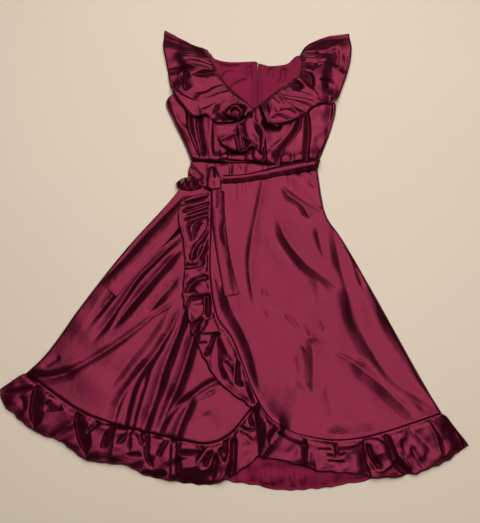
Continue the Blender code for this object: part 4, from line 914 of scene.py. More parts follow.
# Tones as shares of the cloth's colour, and how far each one covers it
SATIN_TONES = (0.88, 1.12)
TAPE_TONES = (0.75, 1.2)
FLOOR_TONES = (0.96, 1.04)
STITCH_TONE, STITCH_COVER = 0.55, 0.6
# Painted shade: the tone that the feet of sharp valleys are darkened to, and how far it covers the colour
CREASE_SHADE_TONE, CREASE_SHADE_COVER = 0.1, 0.85
SHEEN_TONE, SHEEN_WEIGHT = 3.0, 0.12
ROUGHNESS_SPREAD = 0.12
MATT_SPREAD = 0.1       # the same for the tape and the floor

# Sockets of nodes that are reached by their places
OBJECT_SPACE = 3        # of a Texture Coordinate node
FACTOR = 2              # of an Attribute node
MIX_FACTOR, MIX_FIRST, MIX_SECOND = 0, 6, 7     # of a Mix node for colours


class Signal:
    """A number that varies over the surface: a socket that Python can add and multiply."""

    def __init__(self, paint, socket):
        self.paint = paint
        self.socket = socket

    def math(self, operation, first, second=None):
        """A Math node on one or two values."""
        values = {0: first} if second is None else {0: first, 1: second}
        return self.paint.node("ShaderNodeMath", {"operation": operation}, values)[0]

    def __add__(self, other):
        return self.math("ADD", self, other)

    def __radd__(self, other):
        return self.math("ADD", other, self)

    def __sub__(self, other):
        return self.math("SUBTRACT", self, other)

    def __rsub__(self, other):
        return self.math("SUBTRACT", other, self)

    def __mul__(self, other):
        return self.math("MULTIPLY", self, other)

    def __rmul__(self, other):
        return self.math("MULTIPLY", other, self)

    def __truediv__(self, other):
        return self.math("DIVIDE", self, other)

    def __pow__(self, other):
        return self.math("POWER", self, other)

    def sine(self):
        """The sine of the value."""
        return self.math("SINE", self)

    def fraction(self):
        """The part of the value after the point."""
        return self.math("FRACT", self)

    def below(self, limit):
        """1 where the value is below a limit, else 0."""
        return self.math("LESS_THAN", self, limit)

    def clipped(self):
        """The value held between 0 and 1."""
        return self.math("MINIMUM", self.math("MAXIMUM", self, 0.0), 1.0)


class Paint:
    """A node material under construction."""

    def __init__(self, name):
        self.material = bpy.data.materials.new(name)
        self.material.use_nodes = True
        self.tree = self.material.node_tree
        self.shader = self.tree.nodes["Principled BSDF"]

    def node(self, kind, settings=None, values=None):
        """A node with its settings and its sockets' values or links; gives its outputs as signals."""
        made = self.tree.nodes.new(kind)
        for key, value in (settings or {}).items():
            setattr(made, key, value)
        for key, value in (values or {}).items():
            self.feed(made.inputs[key], value)
        return [Signal(self, socket) for socket in made.outputs if socket.enabled]

    def feed(self, socket, value):
        """Set a socket, or link a signal to it."""
        if isinstance(value, Signal):
            self.tree.links.new(value.socket, socket)
        else:
            socket.default_value = value

    def mix(self, factor, first, second):
        """A colour between two colours."""
        values = {MIX_FACTOR: factor, MIX_FIRST: first, MIX_SECOND: second}
        return self.node("ShaderNodeMix", {"data_type": "RGBA"}, values)[0]

    def noise(self, scale, detail):
        """Soft random mottling in the object's own space, 0 to 1."""
        place = self.node("ShaderNodeTexCoord")[OBJECT_SPACE]
        return self.node("ShaderNodeTexNoise", None,
                         {"Vector": place, "Scale": scale, "Detail": detail, "Roughness": 0.5})[0]

    def attribute(self, name):
        """A number stored at the points of the mesh."""
        return self.node("ShaderNodeAttribute", {"attribute_name": name})[FACTOR]

    def cut(self):
        """Place in the flat cut, in metres: across the piece, and down it."""
        layer = self.node("ShaderNodeUVMap", {"uv_map": "cut"})[0]
        return self.node("ShaderNodeSeparateXYZ", None, {0: layer})[:2]

    def tones(self, factor, colour, shares):
        """The colour between two shares of its brightness."""
        first, second = (scaled(colour, share) for share in shares)
        return self.mix(factor, first, second)

    def constants(self, **values):
        """Numbers that are the same all over the surface."""
        for key, value in values.items():
            self.shader.inputs[key.replace("_", " ")].default_value = value

    def finish(self, colour, roughness, height, distance):
        """Link what varies to the shader."""
        settings = {"Strength": 1.0, "Distance": distance, "Height": height}
        bump = self.node("ShaderNodeBump", None, settings)[0]
        self.feed(self.shader.inputs["Base Color"], colour)
        self.feed(self.shader.inputs["Roughness"], roughness)
        self.feed(self.shader.inputs["Normal"], bump)
        return self.material


def scaled(colour, factor):
    """A colour made darker or lighter, with full alpha."""
    return (*(min(1.0, part * factor) for part in colour), 1.0)


def satin(name, colour, finish):
    """Burgundy satin: a tinted gloss, a fine slanting weave, soft mottling, a stitched hem, and painted
    shade at the feet of sharp valleys.
    """
    paint = Paint(name)
    u, v = paint.cut()
    mottle = paint.noise(MOTTLE_SCALE, 3.0)
    crumple = paint.noise(CRUMPLE_SCALE, 3.0)
    weave = ((u + v * WEAVE_SLANT) * (2 * pi / THREAD_PITCH)).sine()
    dash = (u / STITCH_PITCH).fraction().below(STITCH_SHARE)
    row = ((paint.attribute("from_edge") - STITCH_ROW) / STITCH_WIDTH) ** 2.0
    stitch = (1.0 - row).clipped() * dash
    tone = paint.tones(mottle, colour, SATIN_TONES)
    tone = paint.mix(stitch * STITCH_COVER, tone, scaled(colour, STITCH_TONE))
    # Painted shade: darkens the colour at the feet of sharp valleys, where real shade would fall
    tone = paint.mix(paint.attribute("painted_crease_shade") * CREASE_SHADE_COVER, tone, scaled(colour, CREASE_SHADE_TONE))
    paint.constants(Metallic=finish.metallic, IOR=1.45, Sheen_Weight=SHEEN_WEIGHT, Sheen_Roughness=0.4,
                    Sheen_Tint=scaled(colour, SHEEN_TONE), Specular_IOR_Level=0.3, Anisotropic=0.3)
    height = weave * 0.02 + crumple * 1.2 - stitch * 0.35
    return paint.finish(tone, finish.roughness + (mottle - 0.5) * ROUGHNESS_SPREAD, height, SATIN_RELIEF)


def tape_cloth(name, colour):
    """Woven zip tape: matt, with a fine herringbone."""
    paint = Paint(name)
    u, v = paint.cut()
    twill = ((u + v * TWILL_SLANT) * (2 * pi / TWILL_PITCH)).sine()
    ribs = (u * (2 * pi / RIB_PITCH)).sine()
    shade = (twill * 0.25 + ribs * 0.25 + 0.5).clipped()
    tone = paint.tones(shade, colour, TAPE_TONES)
    paint.constants(Metallic=0.0, IOR=1.45, Specular_IOR_Level=0.04)
    return paint.finish(tone, TAPE_ROUGHNESS + shade * MATT_SPREAD, shade, TAPE_RELIEF)


def floor_paint(name, colour):
    """The plain floor, faintly uneven in tone."""
    paint = Paint(name)
    cloud = paint.noise(CLOUD_SCALE, 4.0)
    tone = paint.tones(cloud, colour, FLOOR_TONES)
    paint.constants(Metallic=0.0, Specular_IOR_Level=0.3)
    return paint.finish(tone, FLOOR_ROUGHNESS + cloud * MATT_SPREAD, cloud, FLOOR_RELIEF)


MADE = {}


def finish_of(slot, colours):
    """The material of a slot, made once."""
    if slot not in MADE:
        if slot == "satin":
            MADE[slot] = satin("satin_right_side", colours.satin, RIGHT_SIDE)
        elif slot == "satin_wrong_side":
            MADE[slot] = satin("satin_wrong_side", colours.wrong_side, WRONG_SIDE)
        else:
            MADE[slot] = tape_cloth("zip_tape", colours.tape)
    return MADE[slot]


# ---------------------------------------------------------------------------------------------------
# From a grid of points to a piece of cloth
# ---------------------------------------------------------------------------------------------------
FAR = 1.0               # stands for "no edge near", in metres
# Painted shade in the valleys: the bends between which it sets in and is full
CREASE_SHADE_FROM = 1.2       # upward bend in 1/cm at which a valley starts to darken
CREASE_SHADE_FULL = 5.0
CREASE_STEP = 0.1       # the least step over which a bend is measured
BORDER_POWER = 0.7      # how soon a panel rises on its way in from a border
Border = namedtuple("Border", "lift reach")     # how high a border stays, and how far in it slopes

# A narrow rolled hem: the place and the reach, as shares of the hem's width, and the height of each
Line = namedtuple("Line", "place reach height")
BEAD = Line(0.35, 0.45, 0.03)
STITCH_GROOVE = Line(1.25, 0.35, -0.025)


def grid_distances(points):
    """Distances in centimetres of each grid point from the piece's four sides, by their names."""
    down = np.linalg.norm(np.diff(points, axis=0), axis=2)
    across = np.linalg.norm(np.diff(points, axis=1), axis=2)
    from_top = np.concatenate([np.zeros((1, points.shape[1])), np.cumsum(down, axis=0)])
    from_left = np.concatenate([np.zeros((points.shape[0], 1)), np.cumsum(across, axis=1)], axis=1)
    return Sides(top=from_top, hem=from_top[-1:] - from_top,
                 left=from_left, right=from_left[:, -1:] - from_left)


def crease_shade_mask(points):
    """Painted shade: 1 at the foot of a sharp valley of a grid of points, and 0 on level cloth and on
    ridges.
    """
    height = points[..., 2]
    bend = np.zeros_like(height)
    for axis in (0, 1):
        plan = np.moveaxis(points[..., :2], axis, 0)
        step = np.linalg.norm(plan[2:] - plan[:-2], axis=-1) / 2
        along, found = np.moveaxis(height, axis, 0), np.moveaxis(bend, axis, 0)
        found[1:-1] += (along[2:] + along[:-2] - 2 * along[1:-1]) / np.maximum(step, CREASE_STEP) ** 2
    return ease((bend - CREASE_SHADE_FROM) / (CREASE_SHADE_FULL - CREASE_SHADE_FROM))


def store(mesh, name, values):
    """Keep a number at each point of a mesh."""
    mesh.attributes.new(name, "FLOAT", "POINT").data.foreach_set("value", values.ravel())


def add_cloth(name, points, context, edges=(), slot="satin", back="satin_wrong_side"):
    """Make a thin shell of cloth from a grid of points in centimetres, and lay it on the heap."""
    sizes, colours = context.scene.dress_sizes, context.scene.dress_colours
    rows, columns = points.shape[:2]
    mesh = bpy.data.meshes.new(name + "_cloth")
    builder = bmesh.new()
    bmesh.ops.create_grid(builder, x_segments=columns - 1, y_segments=rows - 1, size=1)
    builder.to_mesh(mesh)
    builder.free()
    mesh.vertices.foreach_set("co", (points.reshape(-1, 3) * CM).ravel())
    mesh.update()
    if sum(face.normal.z * face.area for face in mesh.polygons) < 0:
        mesh.flip_normals()
    distances = grid_distances(points)
    from_edge = np.full(points.shape[:2], FAR / CM)
    for edge in edges:
        from_edge = np.minimum(from_edge, getattr(distances, edge))
    store(mesh, "from_edge", from_edge * CM)
    # painted shade for the feet of sharp valleys, read by the satin's colour
    store(mesh, "painted_crease_shade", crease_shade_mask(points))
    corners = np.zeros(len(mesh.loops), int)
    mesh.loops.foreach_get("vertex_index", corners)
    flat = np.stack([distances.left.ravel()[corners], distances.top.ravel()[corners]], axis=1)
    mesh.uv_layers.new(name="cut").data.foreach_set("uv", (flat * CM).ravel())
    mesh.shade_smooth()
    mesh.materials.append(finish_of(slot, colours))
    mesh.materials.append(finish_of(back, colours))
    piece = bpy.data.objects.new(name + "_cloth", mesh)
    context.scene.collection.objects.link(piece)
    shell = piece.modifiers.new("thickness", "SOLIDIFY")
    shell.thickness = sizes.thickness
    shell.offset = 0
    shell.use_rim = True
    shell.material_offset = 1
    shell.use_quality_normals = True
    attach(piece, "root")
    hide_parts(name)
    HEAP.add(name, points, sizes.thickness / 2 / CM)
    return piece


def air_under(points, crown, borders):
    """Height of a panel over what it lies on: crown high inside, and lower towards its borders."""
    total = np.ones(points.shape[:2])
    for border, distance in zip(borders, grid_distances(points)):
        inward = np.sin(np.clip(distance / border.reach, 0, 1) * pi / 2) ** BORDER_POWER
        total *= border.lift + (1 - border.lift) * inward
    return crown * total


def rolled(distance, sizes):
    """The bead of a narrow rolled hem and the groove of its stitches, in centimetres from the edge."""
    width = sizes.hem_width / CM
    return sum(line.height * np.exp(-((distance - line.place * width) / (line.reach * width)) ** 2)
               for line in (BEAD, STITCH_GROOVE))


# ---------------------------------------------------------------------------------------------------
# Ways of laying a piece
# ---------------------------------------------------------------------------------------------------
SOFT_PANEL = 0.08       # radius of the foot where a fold comes down to what it lies on
SOFT_RUFFLE = 0.06
SOFT_BAND = 0.04
PANEL_PASSES = 60       # how far a piece spans the hollows under it
OVER_SKIRT_PASSES = 160
COLLAR_PASSES = 90
RUFFLE_PASSES = 40
TAIL_PASSES = 120
TAPE_PASSES = 10

PANEL_WAVES = Waves(9.0, 0.12)
SKIRT_GATHERS = Gathers(1.1, 0.05, 1.2)
FLARED = 20.0           # difference of hem and top from which a panel counts as flared
FLARED_SHARE = 0.8      # of a flared panel's hem, for the number of its points across
FREE_AIR = 0.5          # share of the crown from which folds have their full height

HIDDEN_START = 0.5      # from the covering edge to where a covered piece starts to lose height
HIDDEN_REACH = 4.0
HIDDEN_FALL = 0.75      # share of its height that a covered piece loses
Spot = namedtuple("Spot", "centre reach")
PRESSED = (Spot((1.0, 29.0), (8.5, 7.5)), Spot((-0.3, 38.6), (5.6, 4.8)))     # by cascade and rosette
PRESSED_EDGE = 0.5      # share of a spot's reach over which the pressing sets in
PRESSED_FALL = 0.65     # share of its height that a piece loses there

# Gathered strips: their folds' depth as a share of the full one, the puckers at the seam and how far
# from it they start, and the soft waves
Flutter = namedtuple("Flutter", "depth gathers start waves")
RUFFLE = Flutter(depth=0.68, gathers=Gathers(1.1, 0.1, 1.2), start=0.35, waves=Waves(4.0, 0.1))
COLLAR = Flutter(depth=0.85, gathers=Gathers(1.0, 0.12, 1.5), start=0.3, waves=Waves(4.0, 0.07))
OPENING = 1.0           # from its seam to where a gathered strip's folds have their full height
SEAM_GAP = 0.05         # between a seam and the first row of the piece sewn to it
SEAM_MEETING = 0.8      # over which the piece comes up from the seam to its own height
RUFFLE_AIR = 1.5
RUFFLE_RISE = 3.2       # from its seam to a ruffle's full height
RUFFLE_START = 0.45     # share of its rise that it starts with
RUFFLE_FALL = 0.3       # share of its height that it loses on the way to its edge, and again at it
RUFFLE_LIP = 0.5        # reach of that last fall
WOBBLE = Waves(3.0, 0.16)       # of a ruffle's free edge
WOBBLE_ENDS = 0.02      # share of the edge over which it fades at each end
BAND_WAVES = Waves(2.6, 0.03)
BAND_SEED = 11
BAND_EDGES = ("top", "hem")
TAIL_EDGES = ("top", "hem", "right")


def uncovered(plan):
    """1 everywhere, for a piece that nothing lies on."""
    return np.ones(plan.shape[:-1])


def shown(plan, edge=WRAP_EDGE):
    """1 where a piece of the wearer's right front shows, and less under the left front's edge."""
    line = curve(backwards(edge))
    hidden = plan[..., 0] - np.interp(plan[..., 1], line[:, 1], line[:, 0])
    return 1 - HIDDEN_FALL * ease((hidden - HIDDEN_START) / HIDDEN_REACH)


def pressed(plan):
    """1 where a piece is free to puff up, and less where the cascade or the rosette lies on it."""
    share = np.ones(plan.shape[:-1])
    for spot in PRESSED:
        away = np.linalg.norm((plan - spot.centre) / np.array(spot.reach), axis=-1)
        share *= 1 - PRESSED_FALL * ease((1 - away) / PRESSED_EDGE)
    return share


def shown_and_pressed(plan):
    """Both for the right front of the bodice, which the left one's neck edge hides."""
    return shown(plan, NECK_LEFT) * pressed(plan)


def lay_panel(context, name, sides, folds, crown, borders, seed, step=None, puckers=None, edges=(),
              passes=PANEL_PASSES, kind=PANEL_WAVES, heading=None, cover=uncovered, back=PANEL_BACK):
    """A front panel in folds; gives its points for the pieces sewn to it, and the piece."""
    sizes = context.scene.dress_sizes
    step = step or sizes.fineness / CM
    top, hem = length_of(sides.top), length_of(sides.hem)
    across = spaced(hem * FLARED_SHARE if abs(top - hem) > FLARED else (top + hem) / 2, step)
    down = spaced((length_of(sides.left) + length_of(sides.right)) / 2, step)
    plan = patch(sides, across, down)
    relief, shift = fold_relief(plan, folds, sizes.fold_depth, back)
    air = air_under(plan, crown, borders)
    free = np.minimum(1, air / (FREE_AIR * crown))
    own = air + (relief + waves(plan, seed, kind, heading)) * free
    if puckers:
        own = own + seam_puckers(plan, seed + 1, puckers)
    own = soft_floor(own * cover(plan), SOFT_PANEL)
    points = rest(plan + shift * free[..., None], own, sizes, passes)
    return points, add_cloth(name, points, context, edges)


def flutter(plan, along, far, near_edge, body, relief, cover, seed, kind, sizes):
    """Height of a gathered strip, and the share of its folds' height that each point has."""
    opening = ease(far / OPENING)
    own = body + relief * opening
    own += gathers(along, far, seed, kind.gathers) * ease(far / kind.start)
    own += waves(plan, seed + 2, kind.waves) * opening
    own = soft_floor(own * cover(plan), SOFT_RUFFLE) + rolled(near_edge, sizes)
    return np.maximum(own, 0), opening


def unit(vectors):
    """Vectors made one long."""
    return vectors / (np.linalg.norm(vectors, axis=1)[:, None] + 1e-9)


def lay_ruffle(context, name, seam, edge, folds, seed, sewn_to, air=RUFFLE_AIR, step=None,
               cover=uncovered, slot="satin"):
    """A ruffle from its seam (points with heights) to its free edge."""
    sizes = context.scene.dress_sizes
    step = step or sizes.ruffle_fineness / CM
    length = length_of(edge)
    across = spaced(max(length, reach(seam)[-1]), step)
    seam = at_shares(seam, across)
    free = smooth(edge, across)
    down = spaced(np.linalg.norm(free - seam[:, :2], axis=1).mean(), step, fine_end=True)
    outward = unit(free - seam[:, :2])
    wobble = waves(free, seed + 5, WOBBLE) * ease(np.minimum(across, 1 - across) / WOBBLE_ENDS)
    free = free + outward * wobble[:, None]
    out = down[:, None]
    plan = (seam[:, :2] + SEAM_GAP * outward)[None] * (1 - out[..., None]) + free[None] * out[..., None]
    relief, shift = fold_relief(plan, folds, sizes.fold_depth * RUFFLE.depth)
    far, near_edge = from_row(plan, 0), from_row(plan, -1)
    along = np.broadcast_to(across[None] * length, far.shape)
    lip = ease(1 - near_edge / RUFFLE_LIP)
    body = air * ease(RUFFLE_START + far / RUFFLE_RISE) * (1 - RUFFLE_FALL * out - RUFFLE_FALL * lip)
    own, opening = flutter(plan, along, far, near_edge, body, relief, cover, seed, RUFFLE, sizes)
    points = rest(plan + shift * opening[..., None], own, sizes, RUFFLE_PASSES, sewn_to)
    meet = ease(far / SEAM_MEETING)
    points[..., 2] = seam[None, :, 2] * (1 - meet) + points[..., 2] * meet
    return add_cloth(name, points, context, ("hem", "left", "right"), slot)


def lay_band(context, name, band, folds, crown, step=None, edges=(), passes=RUFFLE_PASSES, power=0.5,
             level=False):
    """A stretch of band or belt between its lower and upper curves, softly arched, or level across."""
    sizes = context.scene.dress_sizes
    low, high = band
    step = step or sizes.ruffle_fineness / CM
    across = spaced(length_of(low), step)
    width = np.linalg.norm(np.array(low[0]) - np.array(high[0]))
    down = spaced(width, step, fine_start=True, fine_end=True)
    plan = patch(Sides(high, low, (high[0], low[0]), (high[-1], low[-1])), across, down)
    relief, shift = fold_relief(plan, folds, sizes.fold_depth)
    arch = np.sin(pi * down)[:, None] ** power
    own = (crown + relief) * arch
    if level:
        under = read_raster(taut(HEAP.top(), passes), plan)
        own += (under.max(axis=0) - under) * arch
    own = soft_floor(own + waves(plan, BAND_SEED, BAND_WAVES) * arch, SOFT_BAND)
    points = rest(plan + shift * arch[..., None], own, sizes, passes)
    return add_cloth(name, points, context, edges)


# ---------------------------------------------------------------------------------------------------
# The back: skirt, hem ruffle, bodice and zip tapes, flat on the floor
# ---------------------------------------------------------------------------------------------------
FLAT_STEP = 0.9         # between the points of the skirt's back
BACK_AIR = 0.015
BACK_WAVES = Waves(14.0, 0.02)
BACK_GRAIN = 0.2        # heading of its waves
BACK_INSET = 0.35       # of its sides, from the fronts'
BACK_SEAM = 0.08        # height of its hem seam
SEAM_STATIONS = 200
BACK_RUFFLE_AIR = 0.12
BACK_RUFFLE_STEP = 0.4

ARM_INSET = 0.3
HALF_STEP = 0.4
HALF_AIR = 0.03
HALF_WAVES = Waves(6.0, 0.03)
TAPE_SETBACK = 0.06     # from the edge of the zip's opening to the tape under it
TAPE_DROP = 0.15        # from the neck edge down to the top of the tape
TAPE_STEP = 0.35
TAPE_POINTS = 9
TAPE_AIR = 0.05
TAPE_RIB = 0.03
TAPE_RIBS = 3           # half waves of the ribs across a tape

ZIP_FOOT_LEFT = (ZIP_FOOT[0] + TAPE_SETBACK, ZIP_FOOT[1])
Half = namedtuple("Half", "name sides width area")
BACK_RIGHT = Sides(
    top=(SHOULDER_TIPS[0],) + BACK_RIGHT_NECK,
    hem=(UNDERARM_FEET[0], ZIP_FOOT),
    left=between(SHOULDER_TIPS[0], inset(ARM_RIGHT, 0, ARM_INSET), UNDERARM_FEET[0]),
    right=ZIP_GAP_RIGHT + (ZIP_FOOT,),
)
BACK_LEFT = Sides(
    top=BACK_LEFT_NECK + (SHOULDER_TIPS[1],),
    hem=(ZIP_FOOT_LEFT, UNDERARM_FEET[1]),
    left=backwards(ZIP_GAP_LEFT) + (ZIP_FOOT_LEFT,),
    right=between(SHOULDER_TIPS[1], inset(ARM_LEFT, 0, ARM_INSET), UNDERARM_FEET[1]),
)
BODICE_HALVES = (
    Half("bodice_back_right", BACK_RIGHT, 0.24, 0.088),
    Half("bodice_back_left", BACK_LEFT, 0.21, 0.075),
)
Tape = namedtuple("Tape", "name gap edge side")
TAPES = (
    Tape("zip_tape_right", ZIP_GAP_RIGHT, TAPE_RIGHT, 1),
    Tape("zip_tape_left", backwards(ZIP_GAP_LEFT), TAPE_LEFT, -1),
)


def lay_skirt_back(context):
    """The skirt's back and the hem ruffle below it."""
    sizes = context.scene.dress_sizes
    sides = Sides(WAIST_BACK, HEM_BACK,
                  between(WAIST_BACK[0], inset(SIDE_LEFT, 0, BACK_INSET), HEM_BACK[0]),
                  between(WAIST_BACK[-1], inset(SIDE_RIGHT, 0, BACK_INSET), HEM_BACK[-1]))
    plan = patch(sides, spaced(length_of(sides.hem), FLAT_STEP), spaced(length_of(sides.left), FLAT_STEP))
    own = BACK_AIR + np.maximum(waves(plan, 3, BACK_WAVES, BACK_GRAIN), 0)
    piece = add_cloth("skirt_back", rest(plan, own, sizes, PANEL_PASSES), context)
    seam = np.column_stack([smooth(HEM_BACK, np.linspace(0, 1, SEAM_STATIONS)),
                            np.full(SEAM_STATIONS, BACK_SEAM)])
    piece = lay_ruffle(context, "hem_ruffle_back", seam, BACK_RUFFLE_EDGE, BACK_RUFFLE_FOLDS, 31,
                       "skirt_back", BACK_RUFFLE_AIR, BACK_RUFFLE_STEP, slot="satin_wrong_side")


def lay_bodice_backs(context):
    """The two halves of the bodice's back, wrong side up, and the zip tapes on them."""
    sizes = context.scene.dress_sizes
    for half in BODICE_HALVES:
        across = spaced(length_of(half.sides.hem), HALF_STEP)
        down = spaced(length_of(half.sides.left), HALF_STEP, fine_start=True)
        plan = patch(half.sides, across, down)
        relief, _ = fold_relief(plan, BODICE_BACK_FOLDS)
        own = np.maximum(HALF_AIR + relief + waves(plan, 8, HALF_WAVES), 0)
        piece = add_cloth(half.name, rest(plan, own, sizes, PANEL_PASSES), context, ("top",),
                          slot="satin_wrong_side", back="satin")
    for tape in TAPES:
        setback = -TAPE_SETBACK * tape.side
        foot = (ZIP_FOOT[0] + setback, tape.edge[-1][1])
        inner = moved(tape.gap, setback, -TAPE_DROP) + (foot,)
        sides = Sides((inner[0], tape.edge[0]), (foot, tape.edge[-1]), inner, tape.edge)
        across = np.linspace(0, 1, TAPE_POINTS)
        plan = patch(sides, across, spaced(length_of(inner), TAPE_STEP))
        ribs = TAPE_AIR + TAPE_RIB * np.cos(across * TAPE_RIBS * pi)[None]
        piece = add_cloth(tape.name, rest(plan, ribs, sizes, TAPE_PASSES), context,
                          slot="zip_tape", back="zip_tape")


# ---------------------------------------------------------------------------------------------------
# The waistband and the skirt's two fronts
# ---------------------------------------------------------------------------------------------------
SEAM_TUCK = 0.6         # of the waistband's allowance, under the bodice's hem
BAND_CENTRE = 6.0
BAND_INSETS = Band(0.3, 0.4)
FLAT_BAND_CROWN = 0.03
FRONT_BAND_CROWN = 0.4
BACK_BAND_STEP = 0.5
TAIL_SIDE_CROWN = 0.3
UNDER_FULLNESS = 1.28   # the right front's folds are deeper than the left front's
UNDER_GRAIN = 0.75 * pi - 1.57
OVER_GRAIN = 0.1
UNDER_SKIRT_BORDERS = Sides(Border(0.3, 2.0), Border(0.7, 0.9), Border(0.05, 0.7), Border(0.4, 2.0))
OVER_SKIRT_BORDERS = Sides(Border(0.25, 2.0), Border(0.85, 0.7), Border(0.8, 0.8), Border(0.05, 0.7))
WRAP_RUFFLE_AIR = 1.25
WRAP_RUFFLE_TOP = 11.0  # where the wrap edge's ruffle starts, below the waist


def lay_waist(context):
    """The belt's back, and the back and the front of the waistband."""
    low = moved(WAIST_BACK, y=BELT_STEP)
    piece = lay_band(context, "belt_back", Band(low, moved(low, y=BELT_WIDTH)), (), FLAT_BAND_CROWN)
    high = inset(moved(WAISTBAND.high, y=SEAM_TUCK), BAND_CENTRE, BAND_INSETS.high)
    low = inset(WAISTBAND.low, BAND_CENTRE, BAND_INSETS.low)
    piece = lay_band(context, "waistband_back", Band(low, high), (), FLAT_BAND_CROWN, BACK_BAND_STEP)
    piece = lay_band(context, "waistband_front", Band(WAISTBAND.low, high), BAND_FOLDS, FRONT_BAND_CROWN,
                     power=1.0)


def lay_under_skirt(context):
    """The skirt's right front, the hem ruffle below it and the short end of the belt on it."""
    air = context.scene.dress_sizes.panel_air / CM * UNDER_FULLNESS
    points, piece = lay_panel(
        context, "skirt_front_under", UNDER_SKIRT, UNDER_SKIRT_FOLDS, air, UNDER_SKIRT_BORDERS, 41,
        puckers=SKIRT_GATHERS, heading=UNDER_GRAIN, cover=shown, back=UNDER_BACK)
    piece = lay_ruffle(context, "hem_ruffle_under", points[-1], UNDER_RUFFLE_EDGE, UNDER_RUFFLE_FOLDS, 43,
                       "skirt_front_under", cover=shown)
    piece = lay_band(context, "belt_tail_side", TAIL_SIDE, TAIL_SIDE_FOLDS, TAIL_SIDE_CROWN,
                     edges=TAIL_EDGES, passes=TAIL_PASSES)


def lay_over_skirt(context):
    """The skirt's left front, and the ruffles that run on along its wrap edge and its hem."""
    air = context.scene.dress_sizes.panel_air / CM
    points, piece = lay_panel(
        context, "skirt_front_over", OVER_SKIRT, OVER_SKIRT_FOLDS, air, OVER_SKIRT_BORDERS, 51,
        puckers=SKIRT_GATHERS, passes=OVER_SKIRT_PASSES, heading=OVER_GRAIN)
    edge = points[:, 0]
    start = np.argmax(edge[:, 1] < WRAP_RUFFLE_TOP)
    split = int(round(WRAP_SPLIT * (len(edge) - 1)))
    seam = edge[start:split + 1]
    piece = lay_ruffle(context, "wrap_ruffle", seam, WRAP_RUFFLE_EDGE, WRAP_RUFFLE_FOLDS, 61,
                       "skirt_front_over", WRAP_RUFFLE_AIR)
    seam = np.vstack([edge[split:], points[-1, 1:]])
    piece = lay_ruffle(context, "hem_ruffle_over", seam, OVER_RUFFLE_EDGE, OVER_RUFFLE_FOLDS, 62,
                       "skirt_front_over")


# ---------------------------------------------------------------------------------------------------
# The bodice's fronts, the cascade, the collars and the rosette
# ---------------------------------------------------------------------------------------------------
BODICE_STEP = 0.26
BODICE_WAVES = Waves(5.0, 0.08)
BODICE_GATHERS = Gathers(1.0, 0.2, 2.2)
RIGHT_FRONT_CROWN = 1.3
LEFT_FRONT_CROWN = 1.2
RIGHT_FRONT_BORDERS = Sides(Border(0.15, 9.0), Border(0.3, 1.4), Border(0.1, 1.0), Border(0.4, 1.5))
LEFT_FRONT_BORDERS = Sides(Border(0.15, 9.0), Border(0.3, 2.4), Border(0.4, 1.5), Border(0.1, 1.0))

COLLAR_STEP = 0.26
COLLAR_SPARE = 4.0      # added to its width for the number of its points across
COLLAR_AIR = 1.05
COLLAR_START = 0.3      # share of its rise that a collar starts with at the neck
COLLAR_RISE = 2.5       # from the neck to its full height
COLLAR_LIP = 0.6        # from its free edge to its full height
COLLAR_EDGE = 0.75      # share of its height at that edge

CASCADE_SIZE = (12.0, 11.0)
CASCADE_STEP = 0.2
CASCADE_AIR = 0.85
CASCADE_WAVES = Waves(2.6, 0.06)
CASCADE_TUCK = 0.35     # share of its height at its top, under the rosette, and the share of its length

CURL_POINTS = (190, 15)
CURL_START = -0.2 * pi
CURL_TURNS = 2.0
CURL_OUTER = (4.4, 3.4)
CURL_INNER = (0.9, 0.7)
CURL_FOOT = 0.58        # the foot's reach as a share of the rim's
CURL_SUNK = 0.85        # the foot's height as a share of the heap's
CURL_RISE = 1.75
CURL_SWING = 0.25       # share of its rise by which it goes up and down
CURL_SWING_PACE = 1.7
CURL_DROP = 0.25        # share of its rise that it loses by its inner end
CURL_LEAN = 2.6         # how much of its rise the ribbon takes near its foot
CURL_CLEAR = 0.1
Wobble = namedtuple("Wobble", "share pace start")
CURL_WOBBLES = (Wobble(0.1, 2.6, 0.7), Wobble(0.05, 5.1, 0.0))


def lay_bodice_fronts(context):
    """The two gathered fronts of the bodice, the wearer's left one over the right one."""
    piece = lay_panel(
        context, "bodice_front_right", RIGHT_FRONT, BODICE_RIGHT_FOLDS, RIGHT_FRONT_CROWN,
        RIGHT_FRONT_BORDERS, 71, BODICE_STEP, BODICE_GATHERS, ("left",), kind=BODICE_WAVES,
        cover=shown_and_pressed, back=BODICE_BACK)[1]
    piece = lay_panel(
        context, "bodice_front_left", LEFT_FRONT, BODICE_LEFT_FOLDS, LEFT_FRONT_CROWN,
        LEFT_FRONT_BORDERS, 73, BODICE_STEP, BODICE_GATHERS, ("right",), kind=BODICE_WAVES,
        cover=pressed, back=BODICE_BACK)[1]


def lay_cascade(context):
    """The cascade's lobes."""
    sizes = context.scene.dress_sizes
    across = spaced(CASCADE_SIZE[0], CASCADE_STEP, fine_start=True, fine_end=True)
    down = spaced(CASCADE_SIZE[1], CASCADE_STEP, fine_end=True)
    plan = patch(CASCADE, across, down)
    relief, shift = fold_relief(plan, CASCADE_FOLDS, sizes.fold_depth, COLLAR_BACK)
    own = CASCADE_AIR + relief + waves(plan, 91, CASCADE_WAVES)
    own *= (CASCADE_TUCK + (1 - CASCADE_TUCK) * ease(down / CASCADE_TUCK))[:, None]
    points = rest(plan + shift, soft_floor(own, SOFT_RUFFLE), sizes, PANEL_PASSES)
    piece = add_cloth("cascade_ruffle", points, context, ("left", "right", "hem"))


